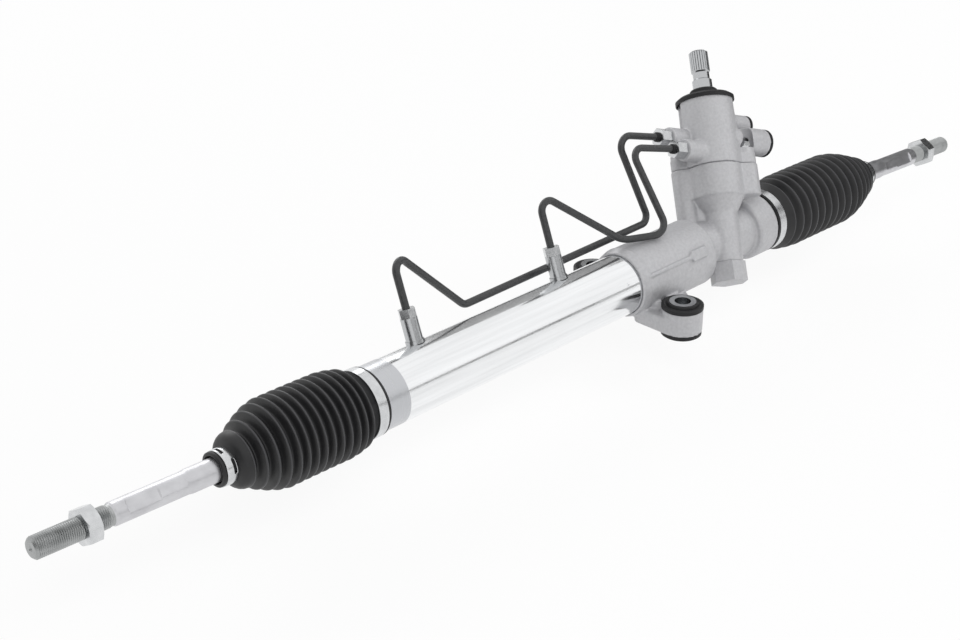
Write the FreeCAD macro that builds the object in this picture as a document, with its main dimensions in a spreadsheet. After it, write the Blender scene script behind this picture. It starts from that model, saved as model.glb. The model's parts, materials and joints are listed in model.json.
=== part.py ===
"""Hydraulic power steering rack: a rack-and-pinion gear with its cylinder, valve and inner tie rods.

Millimetres, +Z up. The rack runs along +X towards the pinion end. The origin is the centre of the
front mounting bolt, on the face that sits on the crossmember, so everything is placed from there.
The driving dimensions are cells of the sheet "dims". Three frames are used: the rack frame (the
rack's centre line, with x counted from the mouth of the housing), the tower frame (the pinion's
centre line, leaning back and towards +X) and each mounting bolt's upright frame.
"""
import FreeCAD, Part
import math
import os

import Sketcher
from FreeCAD import Placement, Rotation, Vector

DIMENSIONS = [
    # rack bar and its travel
    ("rack_radius", 13.0),
    ("rack_left_end", -330.0),
    ("rack_right_end", 283.0),
    ("rack_end_thread_radius", 7.0),
    ("rack_end_bore_depth", 26.0),
    ("running_fit", 0.05),
    # hydraulic cylinder
    ("tube_radius", 25.5),
    ("tube_wall", 3.0),
    ("tube_left", -252.0),
    ("tube_right", 30.0),
    ("stake_position", -10.5),
    ("stake_angle", 61.0),
    ("stake_radius", 2.2),
    ("stake_depth", 0.9),
    ("piston_width", 18.0),
    ("piston_centre", -118.5),
    ("piston_ring_width", 3.2),
    ("piston_ring_depth", 2.6),
    ("seal_thickness", 7.0),
    ("seal_radius", 18.5),
    ("inner_holder_left", -46.0),
    ("inner_holder_length", 24.0),
    ("end_cap_shoulder", -271.0),
    ("end_cap_left", -287.5),
    ("end_cap_neck_radius", 24.0),
    ("end_cap_bore_radius", 14.0),
    ("end_cap_bush_length", 16.0),
    ("end_cap_spigot_right", -226.0),
    ("port_radius", 2.5),
    ("left_port_position", -215.3),
    ("right_port_position", -59.0),
    ("port_lean", 21.0),
    ("port_boss_radius", 6.6),
    ("port_boss_height", 20.0),
    ("port_boss_foot_radius", 7.4),
    ("port_boss_foot_height", 2.6),
    # rack housing casting
    ("housing_left", 4.2),
    ("collar_length", 9.0),
    ("collar_radius", 28.2),
    ("barrel_radius", 29.2),
    ("barrel_step", 97.0),
    ("lug_inset", 22.0),
    ("lug_length", 20.0),
    ("lug_width", 9.0),
    ("lug_height", 8.0),
    ("waist_radius", 22.0),
    ("end_barrel_start", 163.0),
    ("end_barrel_radius", 27.5),
    ("housing_shoulder", 187.3),
    ("housing_right", 202.0),
    ("boot_neck_radius", 24.6),
    ("rack_passage_radius", 14.6),
    ("end_bush_length", 22.0),
    ("end_bush_radius", 16.5),
    ("parting_rib_angle", 62.0),
    ("parting_rib_width", 3.0),
    ("parting_rib_height", 2.0),
    # pinion tower
    ("pinion_position", 127.5),
    ("tower_tilt_back", 32.0),
    ("tower_lean", 20.0),
    ("centre_distance", 14.5),
    ("column_radius", 15.6),
    ("column_foot_radius", 14.2),
    ("column_bottom", -23.0),
    ("spigot_radius", 12.2),
    ("spigot_bottom", -35.0),
    ("gear_chamber_radius", 10.2),
    ("block_bottom", 34.0),
    ("seam_height", 62.0),
    ("block_centre_radius", 24.5),
    ("valve_bore_radius", 17.05),
    ("valve_bore_bottom", 26.0),
    ("bolt_offset_along", 22.5),
    ("bolt_offset_front", 17.0),
    ("bolt_lobe_radius", 9.5),
    ("ear_root_radius", 15.0),
    ("bolt_radius", 3.9),
    ("bolt_head_flats", 10.0),
    ("bolt_head_height", 5.6),
    ("bolt_flange", 1.2),
    ("bolt_reach", 18.0),
    ("flange_thickness", 10.0),
    ("bolt_boss_height", 76.5),
    ("lobe_column_bottom", 4.0),
    # rack guide on the far side of the rack
    ("guide_radius", 15.0),
    ("guide_length", 19.0),
    ("guide_boss_radius", 19.5),
    ("guide_boss_length", 44.0),
    ("guide_plug_radius", 16.4),
    ("guide_plug_length", 9.0),
    ("guide_plug_floor", 6.0),
    ("guide_socket_flats", 17.0),
    ("guide_nut_flats", 36.0),
    ("guide_nut_height", 5.0),
    ("spring_radius", 7.6),
    ("spring_wire_radius", 1.3),
    ("spring_turns", 4.0),
    # teeth
    ("tooth_module", 2.0),
    ("pinion_teeth", 7.0),
    ("pressure_angle", 25.0),
    ("rack_addendum", 1.2),
    ("pinion_addendum", 2.3),
    ("root_clearance", 0.35),
    ("flank_backlash", 0.10),
    ("rack_tooth_count", 21.0),
    ("first_tooth_offset", -50.27),
    # pinion stack, heights along the tower
    ("gear_bottom", -13.0),
    ("gear_top", 13.0),
    ("lower_bearing_bottom", -25.0),
    ("lower_bearing_width", 10.0),
    ("lower_bearing_outer", 11.0),
    ("lower_bearing_inner", 6.0),
    ("race_thickness", 1.5),
    ("ball_radius", 0.95),
    ("ball_count", 7.0),
    ("lock_nut_flats", 15.0),
    ("lock_nut_height", 5.4),
    ("pinion_foot", -32.5),
    ("upper_bearing_bottom", 18.0),
    ("upper_bearing_width", 8.0),
    ("upper_bearing_outer", 13.0),
    ("pinion_journal_radius", 8.0),
    ("pinion_head_top", 35.0),
    ("pinion_head_radius", 15.5),
    ("pinion_head_bottom", 26.5),
    ("gear_core_radius", 5.5),
    ("race_shoulder_radius", 7.2),
    ("sleeve_top", 104.0),
    ("sleeve_radius", 16.9),
    ("sleeve_bore_radius", 11.0),
    ("sleeve_ring_count", 4.0),
    ("sleeve_ring_top", 96.0),
    ("sleeve_ring_pitch", 14.0),
    ("sleeve_ring_width", 2.0),
    ("sleeve_ring_depth", 1.4),
    ("spool_radius", 10.9),
    ("spool_bottom", 38.0),
    ("input_radius", 9.5),
    ("input_bearing_bottom", 106.0),
    ("input_bearing_width", 11.0),
    ("input_bearing_radius", 13.0),
    ("input_seal_width", 6.0),
    ("input_seal_radius", 15.0),
    ("retainer_width", 1.4),
    ("valve_housing_top", 124.5),
    ("valve_barrel_radius", 24.2),
    ("valve_barrel_foot_radius", 25.6),
    ("shaft_neck_bottom", 131.5),
    ("shaft_radius", 8.6),
    ("spline_radius", 8.3),
    ("spline_root_depth", 0.9),
    ("spline_count", 24.0),
    ("spline_bottom", 149.5),
    ("clamp_groove_bottom", 141.5),
    ("clamp_groove_radius", 7.2),
    ("shaft_top", 168.2),
    ("torsion_bar_radius", 3.0),
    ("torsion_bar_foot", 20.0),
    ("dust_cover_radius", 25.7),
    ("dust_cover_skirt", 3.6),
    ("dust_collar_radius", 12.0),
    ("dust_collar_top", 133.0),
    # hex cap under the pinion
    ("cap_bottom", -40.0),
    ("cap_flats", 28.0),
    ("cap_floor", 2.6),
    ("cap_face_radius", 17.2),
    # valve housing ports, counted from the pinion's centre line
    ("upper_line_drop", 37.0),
    ("upper_line_back", 7.0),
    ("upper_line_reach", 44.5),
    ("lower_line_drop", 51.0),
    ("lower_line_back", -6.0),
    ("lower_line_reach", 41.0),
    ("line_boss_radius", 9.6),
    ("return_drop", 18.5),
    ("return_back", 5.0),
    ("return_reach", 50.0),
    ("return_boss_radius", 9.6),
    ("pressure_drop", 38.9),
    ("pressure_back", -12.0),
    ("pressure_reach", 51.5),
    ("pressure_boss_radius", 12.2),
    ("return_thread_radius", 7.0),
    ("pressure_thread_radius", 8.0),
    ("port_thread_depth", 14.0),
    ("plug_lip_thickness", 2.4),
    ("plug_stem", 10.0),
    ("port_drill_radius", 3.0),
    # pipes and their flare nuts
    ("pipe_radius", 3.0),
    ("pipe_wall", 0.8),
    ("pipe_bend_radius", 10.0),
    ("pipe_hump_radius", 8.5),
    ("pipe_hump_rise", 52.0),
    ("pipe_last_straight", 14.0),
    ("flare_nut_flats", 12.0),
    ("flare_nut_height", 7.0),
    ("flare_nut_shank", 6.0),
    ("line_nut_flats", 14.0),
    ("line_nut_height", 11.5),
    # mounting bushes
    ("front_bolt_along", 27.5),
    ("front_bolt_across", -49.3),
    ("rear_bolt_along", 29.5),
    ("rear_bolt_across", 49.3),
    ("bolt_seat_drop", 35.5),
    ("sleeve_length", 30.0),
    ("bolt_hole_radius", 6.75),
    ("bolt_sleeve_radius", 11.0),
    ("eye_radius", 17.2),
    ("eye_bore_radius", 14.6),
    ("eye_bottom", 4.5),
    ("eye_height", 20.0),
    ("bush_flange", 4.0),
    ("arm_root_half_width", 26.0),
    ("arm_thickness", 14.0),
    ("arm_reach", 18.0),
    ("arm_root_offset", 10.0),
    ("arm_root_round", 8.0),
    ("web_half_thickness", 3.0),
    ("web_tip_inset", 14.0),
    ("web_spread", 22.0),
    # boots
    ("boot_radius", 34.0),
    ("boot_groove_depth", 5.0),
    ("boot_wall", 1.6),
    ("boot_crests", 14.0),
    ("boot_taper_crests", 4.0),
    ("boot_gap", 0.5),
    ("boot_tip_radius", 21.3),
    ("boot_shoulder_radius", 31.0),
    ("boot_face_radius", 16.5),
    ("boot_tip_offset", 8.0),
    ("band_width", 9.0),
    ("band_thickness", 0.9),
    ("boot_lip_length", 3.2),
    ("boot_cuff_radius", 12.2),
    ("cuff_gap", 0.5),
    ("clip_width", 5.0),
    ("clip_thickness", 1.1),
    # inner tie rods
    ("left_ball_centre", -353.0),
    ("right_ball_centre", 306.0),
    ("ball_joint_radius", 12.5),
    ("socket_radius", 16.5),
    ("socket_mouth", 10.0),
    ("seat_wall", 1.4),
    ("ball_clearance", 0.4),
    ("seat_lip_angle", 28.0),
    ("neck_radius", 6.0),
    ("mouth_half_angle", 52.0),
    ("rod_taper_length", 22.0),
    ("ball_flat_depth", 1.1),
    ("rod_radius", 8.9),
    ("rod_taper_end", 44.0),
    ("left_rod_step", 80.0),
    ("left_rod_flats_start", 98.0),
    ("left_rod_flats_end", 124.0),
    ("rod_flats_across", 14.4),
    ("left_thread_start", 134.0),
    ("left_rod_length", 196.2),
    ("right_rod_length", 195.6),
    ("right_thread_start", 133.0),
    ("right_rod_flats_start", 99.0),
    ("right_rod_flats_end", 123.0),
    ("tie_thread_radius", 8.0),
    ("jam_nut_flats", 24.0),
    ("thread_seat", 0.35),
    ("jam_nut_height", 10.5),
    ("left_jam_nut", 150.6),
    ("right_jam_nut", 150.6),
    ("left_cuff_start", 44.5),
    ("right_cuff_start", 44.5),
    ("cuff_length", 12.0),
    ("left_rod_tilt", 1.6),
    ("right_rod_tilt", 2.9),
    ("lock_washer_thickness", 2.0),
]


# The corners of the two pipes in the rack frame, from the cylinder's port to the valve
UPPER_PIPE_CORNERS = [(-146.1, 28, 24.1), (74.8, 28, 27), (59.2, 56.2, 101.6)]
LOWER_PIPE_CORNERS = [(16.5, 8, 33.8), (56.6, -9, 33), (56.8, 37.6, 96)]


class Size:
    """A dimension that carries its value and the expression that gives it."""

    def __init__(self, value, text):
        self.value = float(value)
        self.text = text

    def __float__(self):
        return self.value

    def __add__(self, other):
        return Size(self.value + float(other), "(%s + %s)" % (self.text, words(other)))

    def __radd__(self, other):
        return Size(float(other) + self.value, "(%s + %s)" % (words(other), self.text))

    def __sub__(self, other):
        return Size(self.value - float(other), "(%s - %s)" % (self.text, words(other)))

    def __rsub__(self, other):
        return Size(float(other) - self.value, "(%s - %s)" % (words(other), self.text))

    def __mul__(self, other):
        return Size(self.value * float(other), "(%s * %s)" % (self.text, words(other)))

    def __rmul__(self, other):
        return self * other

    def __truediv__(self, other):
        return Size(self.value / float(other), "(%s / %s)" % (self.text, words(other)))

    def __neg__(self):
        return Size(-self.value, "(0 - %s)" % self.text)


def words(number):
    """The expression text of a Size or of a plain number."""
    if isinstance(number, Size):
        return number.text
    return repr(float(number))


class Dimensions:
    """The spreadsheet of driving dimensions, each read as an attribute."""

    def __init__(self, document, rows):
        sheet = document.addObject("Spreadsheet::Sheet", "dims")
        for row, (name, value) in enumerate(rows, start=1):
            sheet.set("A%d" % row, name)
            sheet.set("B%d" % row, str(value))
            sheet.setAlias("B%d" % row, name)
        document.recompute()
        for name, value in rows:
            setattr(self, name, Size(sheet.get(name), "dims." + name))


doc = FreeCAD.newDocument("steering_rack")
d = Dimensions(doc, DIMENSIONS)
made = []


def bind(obj, name, size):
    """Set one property, from the sheet where the size comes from there."""
    if isinstance(size, Size):
        setattr(obj, name, size.value)
        obj.setExpression(name, size.text)
    else:
        setattr(obj, name, float(size))


# Frames. The rack frame has its origin on the rack's centre line; the datum moves it to the front bolt.
DATUM = Vector(-float(d.front_bolt_along), -float(d.front_bolt_across), float(d.bolt_seat_drop))
TO_DATUM = Placement(DATUM, Rotation())
TILT = Rotation(Vector(1, 0, 0), -float(d.tower_tilt_back))
TOWER_TURN = TILT * Rotation(Vector(0, 1, 0), float(d.tower_lean))
RACK_TO_PINION = TILT.multVec(Vector(0, -float(d.centre_distance), 0))
TOWER = Placement(Vector(float(d.pinion_position), 0, 0) + RACK_TO_PINION, TOWER_TURN)
Z_TO_X = Rotation(Vector(0, 1, 0), 90)
Z_TO_MINUS_X = Rotation(Vector(0, 1, 0), -90)
X_TO_Z = Rotation(Vector(0, 1, 0), -90)


def at(x=0, y=0, z=0, turn=Rotation()):
    return Placement(Vector(float(x), float(y), float(z)), turn)


def along_rack(station, mirrored=False):
    """Local +X along the rack from a station on its centre line, or against it when mirrored."""
    turn = Rotation(Vector(0, 0, 1), 180) if mirrored else Rotation()
    return at(station, 0, 0, turn)


def along_tower(height, right=0, back=0):
    """Local +X up the tower."""
    return TOWER * at(right, back, height, X_TO_Z)


def tower_z(height, right=0, back=0):
    """Local +Z up the tower."""
    return TOWER * at(right, back, height)


def tower_out(direction, height, back):
    """Local +Z out of the tower to one side: +1 towards the plugs, -1 towards the pipes."""
    return TOWER * at(0, back, height, Z_TO_X if direction > 0 else Z_TO_MINUS_X)


# Primitives with sizes from the sheet
def cylinder(name, radius, height, place):
    obj = doc.addObject("Part::Cylinder", name)
    bind(obj, "Radius", radius)
    bind(obj, "Height", height)
    obj.Placement = place
    return obj


def cone(name, radius_low, radius_high, height, place):
    obj = doc.addObject("Part::Cone", name)
    bind(obj, "Radius1", radius_low)
    bind(obj, "Radius2", radius_high)
    bind(obj, "Height", height)
    obj.Placement = place
    return obj


def block(name, length, width, height, place):
    """A box centred on its local X and Y, standing on Z = 0."""
    obj = doc.addObject("Part::Box", name)
    bind(obj, "Length", length)
    bind(obj, "Width", width)
    bind(obj, "Height", height)
    obj.Placement = place * at(-float(length) / 2, -float(width) / 2, 0)
    return obj


def hexagon(name, flats, height, place):
    obj = doc.addObject("Part::Prism", name)
    obj.Polygon = 6
    bind(obj, "Circumradius", flats / math.sqrt(3))
    bind(obj, "Height", height)
    obj.Placement = place
    return obj


def fuse(name, parts):
    obj = doc.addObject("Part::MultiFuse", name)
    obj.Shapes = parts
    obj.Refine = True
    return obj


def cut(name, base, tools):
    """Cut each tool in turn, so that tools may cross each other."""
    for number, tool in enumerate(tools):
        last = number == len(tools) - 1
        obj = doc.addObject("Part::Cut", name if last else "%s_cut_%d" % (name, number + 1))
        obj.Base = base
        obj.Tool = tool
        obj.Refine = last
        base = obj
    return base


def common(name, first, second):
    obj = doc.addObject("Part::Common", name)
    obj.Base = first
    obj.Tool = second
    return obj


def feature(name, shape, place=Placement()):
    """A solid made with Part's functions, moved from its own frame to a place."""
    own = shape.Placement
    obj = doc.addObject("Part::Feature", name)
    obj.Shape = shape
    obj.Placement = place * own
    return obj


def group(name, parts):
    obj = doc.addObject("Part::Compound", name)
    obj.Links = parts
    return obj


def keep(obj, label, place=TO_DATUM):
    """Name a finished sub-part and move it from its own frame to the datum."""
    obj.Label = label
    obj.Placement = place * obj.Placement
    made.append(obj)
    return obj


def pin_point(sketch, edge, size, axis_name, axis_edge):
    """Hold the start of one edge at a distance along X or Y from the sketch's origin."""
    if abs(float(size)) < 1e-9:
        sketch.addConstraint(Sketcher.Constraint("PointOnObject", edge, 1, axis_edge))
        return
    number = sketch.addConstraint(Sketcher.Constraint(axis_name, -1, 1, edge, 1, float(size)))
    if isinstance(size, Size):
        sketch.setExpression("Constraints[%d]" % number, size.text)


def turned(name, outline, place):
    """A PartDesign body turned about its own X axis from (station, radius) points."""
    body = doc.addObject("PartDesign::Body", name)
    plane = [f for f in body.Origin.OriginFeatures if f.Role == "XY_Plane"][0]
    sketch = body.newObject("Sketcher::SketchObject", name + "_outline")
    sketch.AttachmentSupport = (plane, [""])
    sketch.MapMode = "FlatFace"
    corners = [Vector(float(x), float(r), 0) for x, r in outline]
    count = len(corners)
    for i in range(count):
        sketch.addGeometry(Part.LineSegment(corners[i], corners[(i + 1) % count]), False)
    for i in range(count):
        sketch.addConstraint(Sketcher.Constraint("Coincident", i, 2, (i + 1) % count, 1))
    for i, (x, r) in enumerate(outline):
        pin_point(sketch, i, x, "DistanceX", -2)
        pin_point(sketch, i, r, "DistanceY", -1)
    turn = body.newObject("PartDesign::Revolution", name + "_turn")
    turn.Profile = sketch
    turn.ReferenceAxis = (sketch, ["H_Axis"])
    turn.Angle = 360.0
    body.Tip = turn
    body.Placement = place
    return body


def ring(name, inner, outer, width, place):
    """A plain ring about its local X axis."""
    return turned(name, [(0, inner), (width, inner), (width, outer), (0, outer)], place)


# Shapes made with Part's own functions
def tangent_points(first, second):
    """The outer tangent of two circles (x, y, radius), on the right of the line between them."""
    (x1, y1, r1), (x2, y2, r2) = first, second
    dx, dy = x2 - x1, y2 - y1
    distance = math.hypot(dx, dy)
    heading = math.atan2(dy, dx) - math.pi / 2 - math.asin((r2 - r1) / distance)
    across = Vector(math.cos(heading), math.sin(heading), 0)
    return Vector(x1, y1, 0) + across * r1, Vector(x2, y2, 0) + across * r2


def belt(circles):
    """A face inside the belt round circles (x, y, radius) given anticlockwise."""
    count = len(circles)
    runs = [tangent_points(circles[i], circles[(i + 1) % count]) for i in range(count)]
    edges = []
    for i, (x, y, radius) in enumerate(circles):
        arrive = runs[i - 1][1]
        leave = runs[i][0]
        centre = Vector(x, y, 0)
        middle = (arrive - centre) + (leave - centre)
        turn = (leave - arrive).cross(centre - arrive)
        if middle.Length < 1e-6:
            middle = Vector(leave.y - arrive.y, arrive.x - leave.x, 0)
        elif turn.z < 0:
            middle = -middle
        middle.normalize()
        if (arrive - leave).Length > 1e-6:
            edges.append(Part.Arc(arrive, centre + middle * radius, leave).toShape())
        edges.append(Part.LineSegment(*runs[i]).toShape())
    return Part.Face(Part.Wire(edges))


def belt_plate(circles, low, high):
    face = belt([(float(x), float(y), float(r)) for x, y, r in circles])
    plate = face.extrude(Vector(0, 0, float(high) - float(low)))
    plate.translate(Vector(0, 0, float(low)))
    return plate


def lathe(points):
    """A solid turned about X from (station, radius) points."""
    corners = [Vector(x, r, 0) for x, r in points]
    face = Part.Face(Part.makePolygon(corners + corners[:1]))
    return face.revolve(Vector(0, 0, 0), Vector(1, 0, 0), 360)


def bent_path(start, corners, finish):
    """A wire of straight runs with a tangent arc at each (corner, bend radius)."""
    edges = []
    here = start
    ends = [corner for corner, _ in corners[1:]] + [finish]
    for (corner, bend_radius), following in zip(corners, ends):
        back = (here - corner).normalize()
        ahead = (following - corner).normalize()
        half = back.getAngle(ahead) / 2
        reach = bend_radius / math.tan(half)
        bisector = (back + ahead).normalize()
        centre = corner + bisector * (bend_radius / math.sin(half))
        arc_start = corner + back * reach
        arc_end = corner + ahead * reach
        edges.append(Part.LineSegment(here, arc_start).toShape())
        edges.append(Part.Arc(arc_start, centre - bisector * bend_radius, arc_end).toShape())
        here = arc_end
    edges.append(Part.LineSegment(here, finish).toShape())
    return Part.Wire(edges)


def bent_tube(start, corners, finish, radius, wall):
    path = bent_path(start, corners, finish)
    heading = (corners[0][0] - start).normalize()
    outside = Part.Wire([Part.Circle(start, heading, radius).toShape()])
    inside = Part.Wire([Part.Circle(start, heading, radius - wall).toShape()])
    return path.makePipeShell([outside], True, True).cut(path.makePipeShell([inside], True, True))


def rack_teeth_cutter():
    """The spaces between the rack's teeth, in the tower frame, as one comb run up the tower."""
    module = float(d.tooth_module)
    pitch = math.pi * module
    pinion_pitch_radius = module * float(d.pinion_teeth) / 2
    slope = math.tan(math.radians(float(d.pressure_angle)))
    tip = pinion_pitch_radius - float(d.rack_addendum)
    root = pinion_pitch_radius + float(d.pinion_addendum) + float(d.root_clearance)
    middle = (tip + root - float(d.root_clearance)) / 2
    clear = float(d.flank_backlash)

    def half_space(depth):
        return pitch / 4 - (depth - middle) * slope + clear

    outside = tip - 12
    corners = []
    first = float(d.first_tooth_offset)
    count = int(float(d.rack_tooth_count))
    start = first - half_space(tip)
    corners.append(Vector(start, outside, 0))
    for i in range(count + 1):
        middle_of_space = first + i * pitch
        corners.append(Vector(middle_of_space - half_space(tip), tip, 0))
        corners.append(Vector(middle_of_space - half_space(root), root, 0))
        corners.append(Vector(middle_of_space + half_space(root), root, 0))
        corners.append(Vector(middle_of_space + half_space(tip), tip, 0))
    corners.append(Vector(corners[-1].x, outside, 0))
    face = Part.Face(Part.makePolygon(corners + corners[:1]))
    reach = 4 * float(d.rack_radius)
    comb = face.extrude(Vector(0, 0, 2 * reach))
    comb.translate(Vector(0, 0, -reach))
    return comb


def pinion_gear_face():
    """The pinion's involute outline, with one tooth pointing at the rack along +Y."""
    module = float(d.tooth_module)
    teeth = int(float(d.pinion_teeth))
    pitch_radius = module * teeth / 2
    alpha = math.radians(float(d.pressure_angle))
    base_radius = pitch_radius * math.cos(alpha)
    tip_radius = pitch_radius + float(d.pinion_addendum)
    root_radius = pitch_radius - float(d.rack_addendum) - float(d.root_clearance)
    middle = pitch_radius + (float(d.pinion_addendum) - float(d.rack_addendum)) / 2
    rack_thickness = math.pi * module / 2 - 2 * (middle - pitch_radius) * math.tan(alpha)
    thickness = math.pi * module - rack_thickness
    half_angle = thickness / 2 / pitch_radius
    involute = math.tan(alpha) - alpha

    def flank(radius):
        """The angle from the tooth's centre line to its flank at a radius."""
        pressure = math.acos(min(1.0, base_radius / radius))
        return half_angle + involute - (math.tan(pressure) - pressure)

    def point(radius, angle):
        return Vector(radius * math.sin(angle), radius * math.cos(angle), 0)

    radii = [base_radius + (tip_radius - base_radius) * step / 4 for step in range(5)]
    edges = []
    for tooth in range(teeth):
        centre = 2 * math.pi * tooth / teeth
        following = 2 * math.pi * (tooth + 1) / teeth
        rising = [point(r, centre - flank(r)) for r in radii]
        falling = [point(r, centre + flank(r)) for r in reversed(radii)]
        foot = point(root_radius, centre - flank(base_radius))
        edges.append(Part.LineSegment(foot, rising[0]).toShape())
        curve = Part.BSplineCurve()
        curve.interpolate(rising)
        edges.append(curve.toShape())
        edges.append(Part.Arc(rising[-1], point(tip_radius, centre), falling[0]).toShape())
        curve = Part.BSplineCurve()
        curve.interpolate(falling)
        edges.append(curve.toShape())
        heel = point(root_radius, centre + flank(base_radius))
        edges.append(Part.LineSegment(falling[-1], heel).toShape())
        next_foot = point(root_radius, following - flank(base_radius))
        bottom = point(root_radius, (centre + following) / 2)
        edges.append(Part.Arc(heel, bottom, next_foot).toShape())
    return Part.Face(Part.Wire(edges))


# Cylinder side
def build_cylinder():
    bore = d.tube_radius - d.tube_wall
    tube = ring("tube_blank", bore, d.tube_radius, d.tube_right - d.tube_left, along_rack(d.tube_left))
    lean = Rotation(Vector(1, 0, 0), -float(d.port_lean))
    drills = []
    for side, station in (("left", d.left_port_position), ("right", d.right_port_position)):
        drills.append(cylinder(side + "_port_drill", d.port_radius, d.tube_radius + 5,
                               at(station, 0, 0, lean)))
    facing = Rotation(Vector(1, 0, 0), float(d.stake_angle))
    depth = float(d.tube_radius) - float(d.stake_depth)
    stake_place = at(d.stake_position, 0, 0, facing) * at(0, 0, depth)
    drills.append(cone("stake", d.stake_radius / 2, d.stake_radius, d.stake_depth * 2, stake_place))
    keep(cut("tube_part", tube, drills), "cylinder_tube")

    seat = float(d.tube_radius) - 0.6
    bosses = []
    for side, station in (("left", d.left_port_position), ("right", d.right_port_position)):
        place = at(station, 0, 0, lean)
        foot_place = place * at(0, 0, seat)
        foot = cylinder(side + "_foot", d.port_boss_foot_radius, d.port_boss_foot_height, foot_place)
        body = cylinder(side + "_boss", d.port_boss_radius, d.port_boss_height, foot_place)
        solid = fuse(side + "_boss_blank", [foot, body])
        waste = cylinder(side + "_tube_waste", d.tube_radius, 40, at(float(station) - 20, 0, 0, Z_TO_X))
        drill = cylinder(side + "_boss_drill", d.port_radius, 60, place)
        thread = cylinder(side + "_boss_thread", d.pipe_radius + 1.2, 20,
                          place * at(0, 0, seat + float(d.port_boss_height) - float(d.flare_nut_shank) - 1))
        bosses.append(cut(side + "_port_boss", solid, [waste, drill, thread]))
    keep(group("port_bosses", bosses), "cylinder_port_bosses")

    shoulder = d.end_cap_shoulder - d.end_cap_left
    spigot = d.end_cap_spigot_right - d.end_cap_left
    seam = d.tube_left - d.end_cap_left
    bush_end = d.end_cap_bush_length + 2
    seal_seat = spigot - d.seal_thickness - 2
    outline = [
        (0, d.rack_radius + 1.6), (2, d.rack_radius + 1.6), (2, d.end_bush_radius - 1),
        (bush_end, d.end_bush_radius - 1), (bush_end, d.end_cap_bore_radius),
        (seal_seat, d.end_cap_bore_radius), (seal_seat, d.seal_radius),
        (spigot, d.seal_radius), (spigot, bore - 1), (spigot - 1, bore), (seam, bore),
        (seam, d.tube_radius), (shoulder, d.tube_radius), (shoulder, d.end_cap_neck_radius),
        (1, d.end_cap_neck_radius), (0, d.end_cap_neck_radius - 1),
    ]
    keep(turned("end_cap", outline, along_rack(d.end_cap_left)), "cylinder_end_cap")
    shaft_fit = d.rack_radius + d.running_fit
    keep(ring("end_cap_bush_part", shaft_fit, d.end_bush_radius - 1, d.end_cap_bush_length,
              along_rack(d.end_cap_left + 2)), "end_cap_bush")
    keep(ring("end_cap_seal_part", shaft_fit, d.seal_radius, d.seal_thickness,
              along_rack(d.end_cap_spigot_right - d.seal_thickness - 1)), "end_cap_rod_seal")

    width = d.inner_holder_length
    outline = [
        (0, d.seal_radius), (d.seal_thickness + 1, d.seal_radius),
        (d.seal_thickness + 1, d.rack_radius + 0.6), (width, d.rack_radius + 0.6), (width, bore),
        (0, bore),
    ]
    keep(turned("inner_holder", outline, along_rack(d.inner_holder_left)), "inner_seal_holder")
    keep(ring("inner_seal", shaft_fit, d.seal_radius, d.seal_thickness,
              along_rack(d.inner_holder_left + 1)), "inner_rod_seal")


# The rack with everything fixed to it
def build_rack():
    length = d.rack_right_end - d.rack_left_end
    bore_depth = d.rack_end_bore_depth
    thread = d.rack_end_thread_radius
    outline = [
        (0, thread), (bore_depth, thread), (bore_depth + 4, 0), (length - bore_depth - 4, 0),
        (length - bore_depth, thread), (length, thread), (length, d.rack_radius - 1),
        (length - 1, d.rack_radius), (1, d.rack_radius), (0, d.rack_radius - 1),
    ]
    bar = turned("rack_blank", outline, along_rack(d.rack_left_end))
    comb = feature("tooth_spaces", rack_teeth_cutter(), TOWER)
    keep(cut("rack_part", bar, [comb]), "rack_bar")

    bore = d.tube_radius - d.tube_wall
    groove = d.piston_ring_depth
    half = d.piston_width / 2
    low = half - d.piston_ring_width / 2
    high = half + d.piston_ring_width / 2
    outer = bore - 0.3
    outline = [
        (0, d.rack_radius), (d.piston_width, d.rack_radius), (d.piston_width, outer - 1),
        (d.piston_width - 1, outer), (high, outer), (high, outer - groove), (low, outer - groove),
        (low, outer), (1, outer), (0, outer - 1),
    ]
    start = d.piston_centre - half
    keep(turned("piston_part", outline, along_rack(start)), "piston")
    keep(ring("piston_ring_part", outer - groove, bore - d.running_fit, d.piston_ring_width,
              along_rack(start + low)), "piston_ring")


def rod_turn(side):
    """Each rod hangs a little off the rack's line: the left one's end up, the right one's down."""
    return Rotation(Vector(0, 1, 0), float(d.left_rod_tilt if side == "left" else d.right_rod_tilt))


def cuff_start(side):
    """How far beyond the ball's centre the boot's small cuff starts."""
    return float(d.left_cuff_start if side == "left" else d.right_cuff_start)


def ball_shell(outer, inner, lip):
    """A spherical shell round the origin, cut off square to X at the lip."""
    outer_rim = Vector(lip, math.sqrt(outer ** 2 - lip ** 2), 0)
    inner_rim = Vector(lip, math.sqrt(inner ** 2 - lip ** 2), 0)
    outline = Part.Wire([
        Part.Arc(Vector(-outer, 0, 0), Vector(0, outer, 0), outer_rim).toShape(),
        Part.LineSegment(outer_rim, inner_rim).toShape(),
        Part.Arc(inner_rim, Vector(0, inner, 0), Vector(-inner, 0, 0)).toShape(),
        Part.LineSegment(Vector(-inner, 0, 0), Vector(-outer, 0, 0)).toShape(),
    ])
    return Part.Face(outline).revolve(Vector(), Vector(1, 0, 0), 360)


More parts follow.
